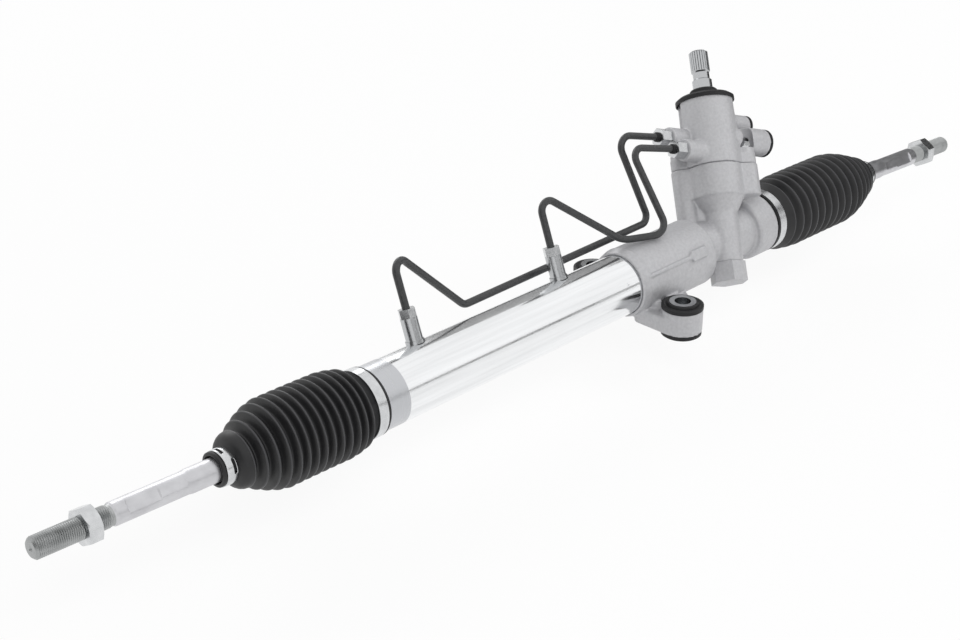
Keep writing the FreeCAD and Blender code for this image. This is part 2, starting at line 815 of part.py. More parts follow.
def build_tie_rod(side, centre, rack_end, outward):
    """One inner tie rod with its joint; outward is +1 when the rod points along +X."""
    def from_ball(offset):
        """Local +X out along the rack's line, from a distance beyond the ball's centre."""
        station = float(centre) + outward * float(offset)
        return along_rack(station, outward < 0)

    def on_rod(offset):
        """The same along the rod, which rests at a small tilt."""
        return at(centre, 0, 0, rod_turn(side)) * at(outward * float(offset), 0, 0, from_ball(0).Rotation)

    back = abs(float(centre) - float(rack_end))
    ball = d.ball_joint_radius
    seat = ball + d.seat_wall + 2 * d.ball_clearance
    mouth = d.socket_mouth
    washer = float(d.lock_washer_thickness)

    # the socket screws into the end of the rack and carries the seat and the ball
    stud = float(d.rack_end_bore_depth) - 1
    body_start = stud + washer
    body = body_start + back - washer + float(mouth)
    outline = [
        (0, 0), (body, 0), (body, d.socket_radius - 2), (body - 2, d.socket_radius),
        (body_start + 3, d.socket_radius), (body_start, d.socket_radius - 2),
        (body_start, d.rack_end_thread_radius - 0.02), (0, d.rack_end_thread_radius - 0.02),
    ]
    blank = turned(side + "_socket_blank", outline, from_ball(-back - stud))
    hollow = doc.addObject("Part::Sphere", side + "_socket_hollow")
    bind(hollow, "Radius", seat)
    hollow.Placement = from_ball(0)
    spread = float(mouth) * math.tan(math.radians(float(d.mouth_half_angle)))
    opening = cone(side + "_socket_opening", 1, 1 + spread, mouth + 1, from_ball(0) * at(0, 0, 0, Z_TO_X))
    entry = cylinder(side + "_socket_entry", ball - 0.7, mouth + 1, from_ball(0) * at(0, 0, 0, Z_TO_X))
    keep(cut(side + "_socket", blank, [hollow, opening, entry]), side + "_ball_socket")

    # the plastic seat between the ball and its socket, open towards the rod
    lip = float(ball) * math.sin(math.radians(float(d.seat_lip_angle)))
    shell = ball_shell(float(seat - d.ball_clearance), float(ball + d.ball_clearance), lip)
    keep(feature(side + "_seat", shell, from_ball(0)), side + "_ball_seat")

    # the rod, its ball, spanner flats and threaded end
    left = side == "left"
    total = d.left_rod_length if left else d.right_rod_length
    thread_start = d.left_thread_start if left else d.right_thread_start
    flats_start = d.left_rod_flats_start if left else d.right_rod_flats_start
    flats_end = d.left_rod_flats_end if left else d.right_rod_flats_end
    rod = d.rod_radius
    thread = d.tie_thread_radius
    neck = d.neck_radius
    nut_face = (d.left_jam_nut if left else d.right_jam_nut) + d.jam_nut_height
    seated = thread - d.thread_seat
    outline = [
        (0, 0), (total, 0), (total, thread - 1.6), (total - 1.6, thread), (nut_face, thread),
        (nut_face, seated), (thread_start + 1.5, seated),
        (thread_start, thread - 0.9), (thread_start - 5, thread - 0.9), (flats_end + 2, rod - 0.6),
        (d.left_rod_step, rod - 0.6), (d.left_rod_step - 3, rod), (d.rod_taper_end, rod),
        (d.rod_taper_end - d.rod_taper_length, neck), (0, neck),
    ]
    bar = turned(side + "_rod_bar", outline, on_rod(0))
    head = doc.addObject("Part::Sphere", side + "_rod_ball")
    bind(head, "Radius", ball)
    head.Placement = on_rod(0)
    blank = fuse(side + "_rod_blank", [bar, head])
    flats = []
    span = float(flats_end) - float(flats_start)
    for number, sign in enumerate((1, -1)):
        offset = sign * (float(d.rod_flats_across) / 2 + 10)
        place = on_rod(float(flats_start) + span / 2) * at(0, offset, -15)
        flats.append(block("%s_flat_%d" % (side, number + 1), span, 20, 30, place))
    flat_middle = float(d.ball_flat_depth) - float(ball) - 3
    back_flat = block(side + "_ball_flat", 6, 30, 30, on_rod(0) * at(flat_middle, 0, -15))
    keep(cut(side + "_rod", blank, flats + [back_flat]), side + "_tie_rod")

    # the jam nut on the thread
    nut_at = d.left_jam_nut if left else d.right_jam_nut
    blank = hexagon(side + "_nut_hex", d.jam_nut_flats, d.jam_nut_height, on_rod(nut_at) * at(turn=Z_TO_X))
    corner = float(d.jam_nut_flats) / math.sqrt(3)
    trim = lathe([(0, 0), (float(d.jam_nut_height), 0), (float(d.jam_nut_height), corner - 1.6),
                  (float(d.jam_nut_height) - 1, corner + 0.3), (1, corner + 0.3), (0, corner - 1.6)])
    rounded = common(side + "_nut_rounded", blank, feature(side + "_nut_trim", trim, on_rod(nut_at)))
    bore = cylinder(side + "_nut_bore", seated, d.jam_nut_height + 2,
                    on_rod(float(nut_at) - 1) * at(turn=Z_TO_X))
    keep(cut(side + "_nut", rounded, [bore]), side + "_jam_nut")

    # the tabbed washer that locks the socket to the rack
    keep(ring(side + "_washer", d.rack_end_thread_radius, d.socket_radius - 1.5, d.lock_washer_thickness,
              from_ball(-back)), side + "_lock_washer")

    # the spring clip round the boot's small cuff
    cuff = d.boot_cuff_radius
    keep(ring(side + "_clip", cuff, cuff + d.clip_thickness, d.clip_width,
              on_rod(cuff_start(side) + 1.2)), side + "_boot_clip")


# Boots: bellows with crests that taper to the cuff on the rod
def crest_radius(index, count):
    """The radius of a crest, counted from the rod's end."""
    taper = float(d.boot_taper_crests)
    full = float(d.boot_radius)
    if index < taper:
        return full - (full - float(d.boot_tip_radius)) * ((taper - index) / taper) ** 1.5
    from_band = count - 1 - index
    if from_band < 2:
        return full - (full - float(d.boot_shoulder_radius)) * ((2 - from_band) / 2) ** 1.5
    return full


def build_boot(side, big_end, outward, ball_centre):
    """The boot butts against the step at big_end and runs outward along the rod."""
    gap = float(d.boot_gap)
    face = 2.2 * gap
    neck = float(d.end_cap_neck_radius if side == "left" else d.boot_neck_radius) + gap
    cuff_outer = float(d.boot_cuff_radius) - gap
    rod_bore = float(d.rod_radius) + float(d.cuff_gap)
    groove = float(d.boot_groove_depth)
    wall = float(d.boot_wall)
    lip = float(d.boot_lip_length)
    band = float(d.band_width)
    count = int(float(d.boot_crests))
    cuff = abs(float(ball_centre) - float(big_end)) + cuff_start(side)
    end = cuff + float(d.cuff_length)
    first = lip + band + 5.5
    pitch = (cuff - float(d.boot_tip_offset) - first) / (count - 1)
    outer = [
        (face, neck + 1.4), (face + 0.7, neck + 2.6), (lip - 0.6, neck + 2.6), (lip, neck + 1.6),
        (lip + band, neck + 1.6),
    ]
    inner = []
    for i in range(count):
        radius = crest_radius(count - 1 - i, count)
        middle = first + i * pitch
        outer.append((middle, radius))
        if i < count - 1:
            root = min(radius, crest_radius(count - 2 - i, count)) - groove
            outer.append((middle + pitch / 2, root))
            inner.append((middle + pitch / 2, root - wall))
    outer += [
        (cuff - 1.5, float(d.boot_face_radius)), (cuff, cuff_outer + 1), (cuff + 0.5, cuff_outer),
        (cuff + 2 + float(d.clip_width), cuff_outer), (cuff + 2.6 + float(d.clip_width), cuff_outer + 0.9),
        (end - 0.6, cuff_outer + 0.9), (end, cuff_outer + 0.1),
    ]
    bore = [(end, rod_bore), (cuff - 1, rod_bore)] + inner[::-1] + [(lip + band, neck), (face, neck)]
    shape = lathe(outer + bore)
    lift = (cuff_start(side) + float(d.cuff_length) / 2) * math.sin(rod_turn(side).Angle)
    reach = end - float(d.cuff_length) / 2
    lean = Rotation(Vector(0, 1, 0), math.degrees(math.asin(lift / reach)))
    place = at(big_end, 0, 0, lean * along_rack(0, outward < 0).Rotation)
    keep(feature(side + "_boot_part", shape, place), side + "_boot")
    keep(ring(side + "_band", neck + 1.6, neck + 1.6 + float(d.band_thickness), band - 0.6,
              place * at(lip + 0.3)), side + "_boot_band")


# Castings
def build_rack_housing():
    barrel_length = d.barrel_step - d.housing_left - d.collar_length
    solids = [
        cone("collar", d.collar_radius - 0.6, d.collar_radius + 1.6, d.collar_length,
             at(d.housing_left, 0, 0, Z_TO_X)),
        cylinder("barrel", d.barrel_radius, barrel_length,
                 at(d.housing_left + d.collar_length, 0, 0, Z_TO_X)),
        cone("barrel_end", d.barrel_radius, d.barrel_radius - 2.5, 3, at(d.barrel_step, 0, 0, Z_TO_X)),
        cylinder("waist", d.waist_radius, d.end_barrel_start - d.barrel_step + 4,
                 at(d.barrel_step - 2, 0, 0, Z_TO_X)),
        cone("end_barrel_rim", d.end_barrel_radius - 2, d.end_barrel_radius, 2,
             at(d.end_barrel_start, 0, 0, Z_TO_X)),
        cylinder("end_barrel", d.end_barrel_radius, d.housing_shoulder - d.end_barrel_start - 2,
                 at(d.end_barrel_start + 2, 0, 0, Z_TO_X)),
        cylinder("boot_neck", d.boot_neck_radius, d.housing_right - d.housing_shoulder + 5,
                 at(d.housing_shoulder - 5, 0, 0, Z_TO_X)),
        cone("column", d.column_foot_radius, d.column_radius, d.block_bottom - d.column_bottom + 4,
             tower_z(d.column_bottom)),
        cylinder("spigot", d.spigot_radius, d.column_bottom - d.spigot_bottom + 2, tower_z(d.spigot_bottom)),
        cylinder("guide_boss", d.guide_boss_radius, d.guide_boss_length, guide_axis(0)),
    ]
    solids.append(cylinder("upper_block", d.block_centre_radius, d.seam_height - d.block_bottom,
                           tower_z(d.block_bottom)))
    for number, place in enumerate(bolt_places()):
        ear = belt_plate(ear_circles(place, 0), d.block_bottom, d.seam_height)
        solids.append(feature("block_ear_%d" % (number + 1), ear, TOWER))
    solids.append(cylinder("rear_bolt_column", d.bolt_lobe_radius, d.seam_height - d.lobe_column_bottom - 2,
                           tower_z(d.lobe_column_bottom, *bolt_places()[1])))
    solids.append(cone("block_foot", d.column_radius, d.block_centre_radius - 1.5, 12,
                       tower_z(float(d.block_bottom) - 12)))
    # a rib along the die's parting line, on the side that faces the front
    facing = Rotation(Vector(1, 0, 0), float(d.parting_rib_angle))
    rib_length = float(d.barrel_step) - float(d.housing_left) - float(d.collar_length) - 14
    solids.append(block("parting_rib", rib_length, d.parting_rib_width, d.parting_rib_height + 3,
                        at(float(d.housing_left) + float(d.collar_length) + rib_length / 2, 0, 0, facing)
                        * at(0, 0, float(d.barrel_radius) - 3)))
    lug_place = at(d.barrel_step - d.lug_inset, 0, 0, facing) * at(0, 0, d.barrel_radius - 5)
    solids.append(block("cast_lug", d.lug_length, d.lug_width, d.lug_height, lug_place))
    # mounting arms and their eyes
    low = float(d.eye_bottom) - float(d.bolt_seat_drop)
    for side, along, across in (("front", d.front_bolt_along, d.front_bolt_across),
                                ("rear", d.rear_bolt_along, d.rear_bolt_across)):
        solids.append(cylinder(side + "_eye", d.eye_radius, d.eye_height, at(along, across, low)))
        sign = 1 if float(across) > 0 else -1
        root = float(d.arm_root_half_width)
        reach = sign * float(d.arm_reach)
        middle = float(along) + float(d.arm_root_offset)
        corner = float(d.arm_root_round)
        circles = [
            (float(along), float(across), float(d.eye_radius)),
            (middle - sign * (root - 6), reach, corner), (middle + sign * (root - 6), reach, corner),
        ]
        solids.append(feature(side + "_arm", belt_plate(circles, low, low + float(d.arm_thickness))))
        half = float(d.web_half_thickness)
        tip = float(across) - sign * float(d.web_tip_inset)
        for number, spread in enumerate((float(d.web_spread), -float(d.web_spread))):
            web = [(float(along), tip, half), (middle + spread, reach, half)]
            plate = belt_plate(web, low, low + float(d.eye_height) - 1)
            solids.append(feature("%s_web_%d" % (side, number + 1), plate))
    blank = fuse("rack_housing_blank", solids)

    tools = [
        cylinder("tube_socket", d.tube_radius, d.tube_right - d.housing_left + 5,
                 at(d.housing_left - 5, 0, 0, Z_TO_X)),
        cylinder("rack_passage", d.rack_passage_radius, d.housing_right - d.housing_left,
                 at(d.housing_left, 0, 0, Z_TO_X)),
        cylinder("end_bush_seat", d.end_bush_radius, d.end_bush_length + 2,
                 at(d.housing_right - d.end_bush_length, 0, 0, Z_TO_X)),
        cylinder("gear_chamber", d.gear_chamber_radius, 60, tower_z(-30)),
        cylinder("lower_bearing_seat", d.lower_bearing_outer, d.lower_bearing_width + 12,
                 tower_z(float(d.lower_bearing_bottom) - 12)),
        cylinder("upper_bearing_seat", d.upper_bearing_outer, 20, tower_z(d.upper_bearing_bottom)),
        cut("cap_face", cylinder("cap_face_outer", d.cap_face_radius, 40, tower_z(d.column_bottom - 40)),
            [cylinder("cap_face_inner", d.spigot_radius, 60, tower_z(d.column_bottom - 50))]),
        cylinder("valve_bore_low", d.valve_bore_radius, 60, tower_z(d.valve_bore_bottom)),
        cylinder("guide_bore", d.guide_radius, d.guide_boss_length, guide_axis(0)),
        cylinder("guide_thread", d.guide_plug_radius, 30,
                 guide_axis(float(d.guide_boss_length) - float(d.guide_plug_length) - 1)),
    ]
    for number, (x, y) in enumerate(bolt_places()):
        tools.append(cylinder("bolt_hole_%d" % (number + 1), d.bolt_radius, 40,
                              tower_z(float(d.seam_height) - 20, x, y)))
    for side, along, across in (("front", d.front_bolt_along, d.front_bolt_across),
                                ("rear", d.rear_bolt_along, d.rear_bolt_across)):
        tools.append(cylinder(side + "_eye_bore", d.eye_bore_radius, 60, at(along, across, low - 5)))
    keep(cut("rack_housing_part", blank, tools), "rack_housing")

    fit = d.rack_radius + d.running_fit
    keep(ring("end_bush", fit, d.end_bush_radius, d.end_bush_length - 3,
              along_rack(d.housing_right - d.end_bush_length)), "rack_end_bush")


def guide_axis(distance):
    """Local +Z away from the pinion, square to the rack, from a distance past its centre line."""
    turn = TILT * Rotation(Vector(1, 0, 0), -90)
    return Placement(Vector(float(d.pinion_position), 0, 0), turn) * at(0, 0, distance)


def port_height(name):
    """How high a port lies up the tower; each is counted down from the housing's top face."""
    return d.valve_housing_top - getattr(d, name + "_drop")


def bolt_places():
    along = float(d.bolt_offset_along)
    front = float(d.bolt_offset_front)
    return [(along, -front), (-along, front)]


def ear_circles(place, shrink):
    """An ear of the two-bolt flange: a round at the bolt and a wider one at the bore."""
    return [(place[0], place[1], float(d.bolt_lobe_radius) - shrink),
            (0.0, 0.0, float(d.ear_root_radius) - shrink)]


def build_valve_housing():
    bottom = float(d.seam_height)
    height = float(d.valve_housing_top) - bottom
    solids = [
        cone("valve_barrel", d.valve_barrel_foot_radius, d.valve_barrel_radius, height, tower_z(bottom)),
        cylinder("valve_flange", d.block_centre_radius - 0.4, d.flange_thickness, tower_z(bottom)),
    ]
    for number, place in enumerate(bolt_places()):
        ear = belt_plate(ear_circles(place, 0.6), bottom, bottom + float(d.flange_thickness))
        solids.append(feature("valve_ear_%d" % (number + 1), ear, TOWER))
    for number, (x, y) in enumerate(bolt_places()):
        solids.append(cylinder("bolt_boss_%d" % (number + 1), d.bolt_lobe_radius - 1.2,
                               float(d.bolt_boss_height) - bottom, tower_z(bottom, x, y)))
    ports = [
        ("upper_line", -1, d.upper_line_back, d.upper_line_reach, d.line_boss_radius),
        ("lower_line", -1, d.lower_line_back, d.lower_line_reach, d.line_boss_radius),
        ("return", 1, d.return_back, d.return_reach, d.return_boss_radius),
        ("pressure", 1, d.pressure_back, d.pressure_reach, d.pressure_boss_radius),
    ]
    for name, direction, back, reach, radius in ports:
        level = port_height(name)
        solids.append(cylinder(name + "_boss", radius, reach, tower_out(direction, level, back)))
    blank = fuse("valve_housing_blank", solids)

    bore_top = float(d.input_bearing_bottom)
    seal_bottom = bore_top + float(d.input_bearing_width)
    tools = [
        cylinder("valve_bore_high", d.valve_bore_radius, bore_top - 1 - bottom + 1, tower_z(bottom - 1)),
        cylinder("input_bearing_seat", d.input_bearing_radius, 30, tower_z(bore_top - 5)),
        cylinder("input_seal_seat", d.input_seal_radius, 30, tower_z(seal_bottom)),
    ]
    for number, (x, y) in enumerate(bolt_places()):
        tools.append(cylinder("bolt_way_%d" % (number + 1), d.bolt_radius, 60, tower_z(bottom - 5, x, y)))
        tools.append(cylinder("bolt_spot_face_%d" % (number + 1), d.bolt_lobe_radius - 0.6, 60,
                              tower_z(d.bolt_boss_height, x, y)))
    for name, direction, back, reach, radius in ports:
        thread = d.pressure_thread_radius if name == "pressure" else d.return_thread_radius
        if direction < 0:
            thread = d.pipe_radius + 2
        place = tower_out(direction, port_height(name), back)
        tools.append(cylinder(name + "_drill", d.port_drill_radius, reach, place * at(0, 0, 5)))
        tools.append(cylinder(name + "_thread", thread, float(d.port_thread_depth) + 5,
                              place * at(0, 0, float(reach) - float(d.port_thread_depth))))
    keep(cut("valve_housing_part", blank, tools), "valve_housing")

    bolts = []
    for number, (x, y) in enumerate(bolt_places()):
        top = float(d.bolt_boss_height)
        tip = bottom - float(d.bolt_reach)
        shank = cylinder("bolt_shank_%d" % number, d.bolt_radius, top - tip, tower_z(tip, x, y))
        head = hexagon("bolt_hex_%d" % number, d.bolt_head_flats, d.bolt_head_height, tower_z(top, x, y))
        washer = cylinder("bolt_flange_%d" % number, d.bolt_head_flats / 2 + 1, d.bolt_flange,
                          tower_z(top, x, y))
        bolts.append(fuse("housing_bolt_%d" % number, [shank, head, washer]))
    keep(group("bolts", bolts), "valve_housing_bolts")

    for name, direction, back, reach, radius in ports[2:]:
        thread = d.pressure_thread_radius if name == "pressure" else d.return_thread_radius
        place = tower_out(direction, port_height(name), back) * at(0, 0, reach)
        lip = cylinder(name + "_lip", radius, d.plug_lip_thickness, place)
        stem = cylinder(name + "_stem", thread, d.plug_stem, place * at(0, 0, -float(d.plug_stem)))
        keep(fuse(name + "_plug_part", [lip, stem]), name + "_port_plug")


# Pinion, valve and input shaft
def build_pinion():
    gear_length = float(d.gear_top) - float(d.gear_bottom)
    gear = feature("gear", pinion_gear_face().extrude(Vector(0, 0, gear_length)), tower_z(d.gear_bottom))
    inner = d.lower_bearing_inner
    nut_top = d.lower_bearing_bottom
    head = d.pinion_head_top
    journal = d.pinion_journal_radius
    foot = d.pinion_foot
    outline = [
        (0, 0), (d.torsion_bar_foot - foot, 0), (d.torsion_bar_foot - foot, d.torsion_bar_radius),
        (head - foot, d.torsion_bar_radius), (head - foot, d.pinion_head_radius),
        (d.pinion_head_bottom - foot, d.pinion_head_radius), (d.pinion_head_bottom - foot, journal),
        (d.upper_bearing_bottom - foot, journal), (d.gear_top - foot, d.gear_core_radius),
        (d.gear_bottom - foot, d.gear_core_radius),
        (d.gear_bottom - 0.5 - foot, d.race_shoulder_radius),
        (d.lower_bearing_bottom + d.lower_bearing_width - foot, d.race_shoulder_radius),
        (d.lower_bearing_bottom + d.lower_bearing_width - foot, inner), (nut_top - foot, inner),
        (nut_top - foot, inner - 0.4), (1, inner - 0.4), (0, inner - 1.4),
    ]
    shaft = turned("pinion_shaft", outline, along_tower(foot))
    keep(fuse("pinion_part", [gear, shaft]), "pinion")

    low = d.lower_bearing_bottom
    race = d.race_thickness
    outer_race = d.lower_bearing_outer - race
    inner_race = inner + race
    groove_mid = (float(outer_race) + float(inner_race)) / 2
    width = d.lower_bearing_width
    keep(ring("outer_race", outer_race, d.lower_bearing_outer, width, along_tower(low)),
         "pinion_bearing_outer_race")
    keep(ring("inner_race", inner, inner_race, width, along_tower(low)), "pinion_bearing_inner_race")
    balls = []
    for i in range(int(float(d.ball_count))):
        angle = 2 * math.pi * i / float(d.ball_count)
        ball = doc.addObject("Part::Sphere", "bearing_ball_%d" % (i + 1))
        bind(ball, "Radius", d.ball_radius)
        ball.Placement = tower_z(float(low) + float(width) / 2, groove_mid * math.cos(angle),
                                 groove_mid * math.sin(angle))
        balls.append(ball)
    keep(group("bearing_balls", balls), "pinion_bearing_balls")

    nut_low = float(low) - float(d.lock_nut_height)
    blank = hexagon("lock_nut_hex", d.lock_nut_flats, d.lock_nut_height, tower_z(nut_low))
    bore = cylinder("lock_nut_bore", inner - 0.4, 20, tower_z(nut_low - 2))
    keep(cut("lock_nut", blank, [bore]), "pinion_lock_nut")

    keep(ring("upper_bearing", journal + d.running_fit, d.upper_bearing_outer, d.upper_bearing_width,
              along_tower(d.upper_bearing_bottom)), "pinion_upper_bearing")

    # valve sleeve over the spool, pinned to the pinion's head
    outer = d.sleeve_radius
    groove = outer - d.sleeve_ring_depth
    length = d.sleeve_top - head
    outline = [(0, d.sleeve_bore_radius), (length, d.sleeve_bore_radius), (length, outer)]
    rings = []
    for i in range(int(float(d.sleeve_ring_count))):
        height = float(d.sleeve_ring_top) - i * float(d.sleeve_ring_pitch)
        top = height - float(head)
        outline += [(top, outer), (top, groove), (top - d.sleeve_ring_width, groove),
                    (top - d.sleeve_ring_width, outer)]
        rings.append(ring("sleeve_ring_%d" % (i + 1), groove, d.valve_bore_radius - d.running_fit,
                          d.sleeve_ring_width, along_tower(height - float(d.sleeve_ring_width))))
    outline.append((0, outer))
    keep(turned("valve_sleeve_part", outline, along_tower(head)), "valve_sleeve")
    keep(group("sleeve_rings", rings), "valve_sleeve_rings")

    keep(cylinder("torsion_bar_part", d.torsion_bar_radius, d.shaft_top - d.torsion_bar_foot - 14,
                  tower_z(d.torsion_bar_foot)), "torsion_bar")

    # input shaft: spool below, journal, neck with clamp groove and splines
    foot = d.spool_bottom
    bore = d.torsion_bar_radius + 0.3
    outline = [
        (0, bore), (d.shaft_top - 12 - foot, bore), (d.shaft_top - 10 - foot, 0), (d.shaft_top - foot, 0),
        (d.shaft_top - foot, d.spline_radius - 1.6), (d.shaft_top - 1.2 - foot, d.spline_radius),
        (d.spline_bottom - foot, d.spline_radius), (d.spline_bottom - 1.2 - foot, d.clamp_groove_radius),
        (d.clamp_groove_bottom + 1.2 - foot, d.clamp_groove_radius),
        (d.clamp_groove_bottom - foot, d.shaft_radius), (d.shaft_neck_bottom - foot, d.shaft_radius),
        (d.shaft_neck_bottom - 1 - foot, d.input_radius), (d.sleeve_top + 1 - foot, d.input_radius),
        (d.sleeve_top - foot, d.spool_radius), (0, d.spool_radius),
    ]
    shaft = turned("input_shaft_blank", outline, along_tower(foot))
    keep(cut("input_shaft_part", shaft, [feature("spline_gaps", spline_gaps(), TOWER)]), "input_shaft")

    bearing = d.input_bearing_bottom
    keep(ring("input_bearing", d.input_radius + d.running_fit, d.input_bearing_radius, d.input_bearing_width,
              along_tower(bearing)), "input_shaft_bearing")
    seal = bearing + d.input_bearing_width
    keep(ring("input_seal", d.input_radius + d.running_fit, d.input_seal_radius, d.input_seal_width,
              along_tower(seal)), "input_shaft_seal")
    keep(ring("seal_retainer", d.input_seal_radius - 3, d.input_seal_radius, d.retainer_width,
              along_tower(seal + d.input_seal_width)), "seal_retaining_ring")


def spline_gaps():
    """The gaps between the clamp splines, as wedges round the shaft's end."""
    count = int(float(d.spline_count))
    outer = float(d.spline_radius) + 1
    root = float(d.spline_radius) - float(d.spline_root_depth)
    half = math.pi / count / 2
    low = float(d.spline_bottom) + 0.5
    height = float(d.shaft_top) - low + 1
    gaps = []
    for i in range(count):
        angle = 2 * math.pi * (i + 0.5) / count
        corners = [
            Vector(root * math.cos(angle), root * math.sin(angle), low),
            Vector(outer * math.cos(angle - half), outer * math.sin(angle - half), low),
            Vector(outer * math.cos(angle + half), outer * math.sin(angle + half), low),
        ]
        face = Part.Face(Part.makePolygon(corners + corners[:1]))
        gaps.append(face.extrude(Vector(0, 0, height)))
    return Part.Compound(gaps)


def build_tower_covers():
    skirt_low = float(d.valve_housing_top) - float(d.dust_cover_skirt)
    rise = float(d.dust_cover_skirt)
    gap = 0.3
    top = float(d.dust_collar_top) - skirt_low
    inner_bore = float(d.input_radius) + float(d.running_fit)
    neck_bore = float(d.shaft_radius) + float(d.running_fit)
    neck_start = float(d.shaft_neck_bottom) - skirt_low
    collar = float(d.dust_collar_radius)
    outer = float(d.dust_cover_radius)
    shape = lathe([
        (0, float(d.valve_barrel_radius) + gap), (rise, float(d.valve_barrel_radius) + gap),
        (rise, inner_bore),
        (neck_start, inner_bore), (neck_start + 0.2, neck_bore), (top, neck_bore), (top, collar - 1),
        (top - 1, collar), (rise + 3.4, collar), (rise + 1.8, outer - 3), (rise - 0.4, outer), (0, outer),
    ])
    keep(feature("dust_cover_part", shape, along_tower(skirt_low)), "dust_cover")

    low = float(d.cap_bottom)
    high = float(d.column_bottom)
    blank = hexagon("cap_hex", d.cap_flats, d.column_bottom - d.cap_bottom, tower_z(low))
    bore = cylinder("cap_bore", d.spigot_radius, high - low, tower_z(low + float(d.cap_floor)))
    keep(cut("cap_part", blank, [bore]), "pinion_bottom_cap")


# Rack guide: a spring-loaded shoe behind the rack, closed by a threaded plug and lock nut
def build_rack_guide():
    shoe = cylinder("guide_shoe", d.guide_radius - 0.1, d.guide_length, guide_axis(4))
    hollow = cylinder("guide_hollow", d.spring_radius + 2, 10, guide_axis(float(d.guide_length) - 3))
    face = cylinder("guide_face", d.rack_radius + d.running_fit, 80,
                    at(float(d.pinion_position) - 40, 0, 0, Z_TO_X))
    keep(cut("guide", shoe, [hollow, face]), "rack_guide")

    low = float(d.guide_length) - 3
    high = float(d.guide_boss_length) - float(d.guide_plug_length) - 1
    wire = float(d.spring_wire_radius)
    turns = float(d.spring_turns)
    height = high - low - 2 * wire
    helix = Part.makeHelix(height / turns, height, float(d.spring_radius) - wire)
    start = Vector(float(d.spring_radius) - wire, 0, 0)
    section = Part.Wire([Part.Circle(start, Vector(0, 1, 0), wire).toShape()])
    coil = Part.Wire(helix.Edges).makePipeShell([section], True, False)
    keep(feature("spring", coil, guide_axis(low + wire)), "rack_guide_spring")

    plug = cylinder("guide_plug_body", d.guide_plug_radius, d.guide_plug_length + 5,
                    guide_axis(high))
    socket = hexagon("guide_plug_socket", d.guide_socket_flats, d.guide_plug_length,
                     guide_axis(high + float(d.guide_plug_floor)))
    keep(cut("guide_plug", plug, [socket]), "rack_guide_plug")
    nut = hexagon("guide_nut_hex", d.guide_nut_flats, d.guide_nut_height, guide_axis(d.guide_boss_length))
    bore = cylinder("guide_nut_bore", d.guide_plug_radius, 20, guide_axis(float(d.guide_boss_length) - 5))
    keep(cut("guide_nut", nut, [bore]), "rack_guide_lock_nut")


# Mounting bushes: a rubber bush with a steel sleeve in each eye
def build_bushes():
    seat = -float(d.bolt_seat_drop)
    for side, along, across in (("front", d.front_bolt_along, d.front_bolt_across),
                                ("rear", d.rear_bolt_along, d.rear_bolt_across)):
        up = at(along, across, seat, X_TO_Z)
        keep(ring(side + "_sleeve", d.bolt_hole_radius, d.bolt_sleeve_radius, d.sleeve_length, up),
             side + "_bush_sleeve")
        bottom = d.eye_bottom
        top = d.eye_bottom + d.eye_height
        inner = d.bolt_sleeve_radius
        flange = d.eye_radius + 0.2
        outline = [
            (bottom - d.bush_flange, inner), (top + d.bush_flange + 1, inner),
            (top + d.bush_flange + 1, inner + 1.5),
            (top + d.bush_flange - 1, inner + 2.2), (top + d.bush_flange - 0.4, flange - 2),
            (top + d.bush_flange - 1.2, flange), (top, flange), (top, d.eye_bore_radius),
            (bottom, d.eye_bore_radius), (bottom, flange - 0.6), (bottom - d.bush_flange + 1, flange - 0.6),
            (bottom - d.bush_flange, flange - 2),
        ]
        keep(turned(side + "_rubber", outline, up), side + "_bush_rubber")


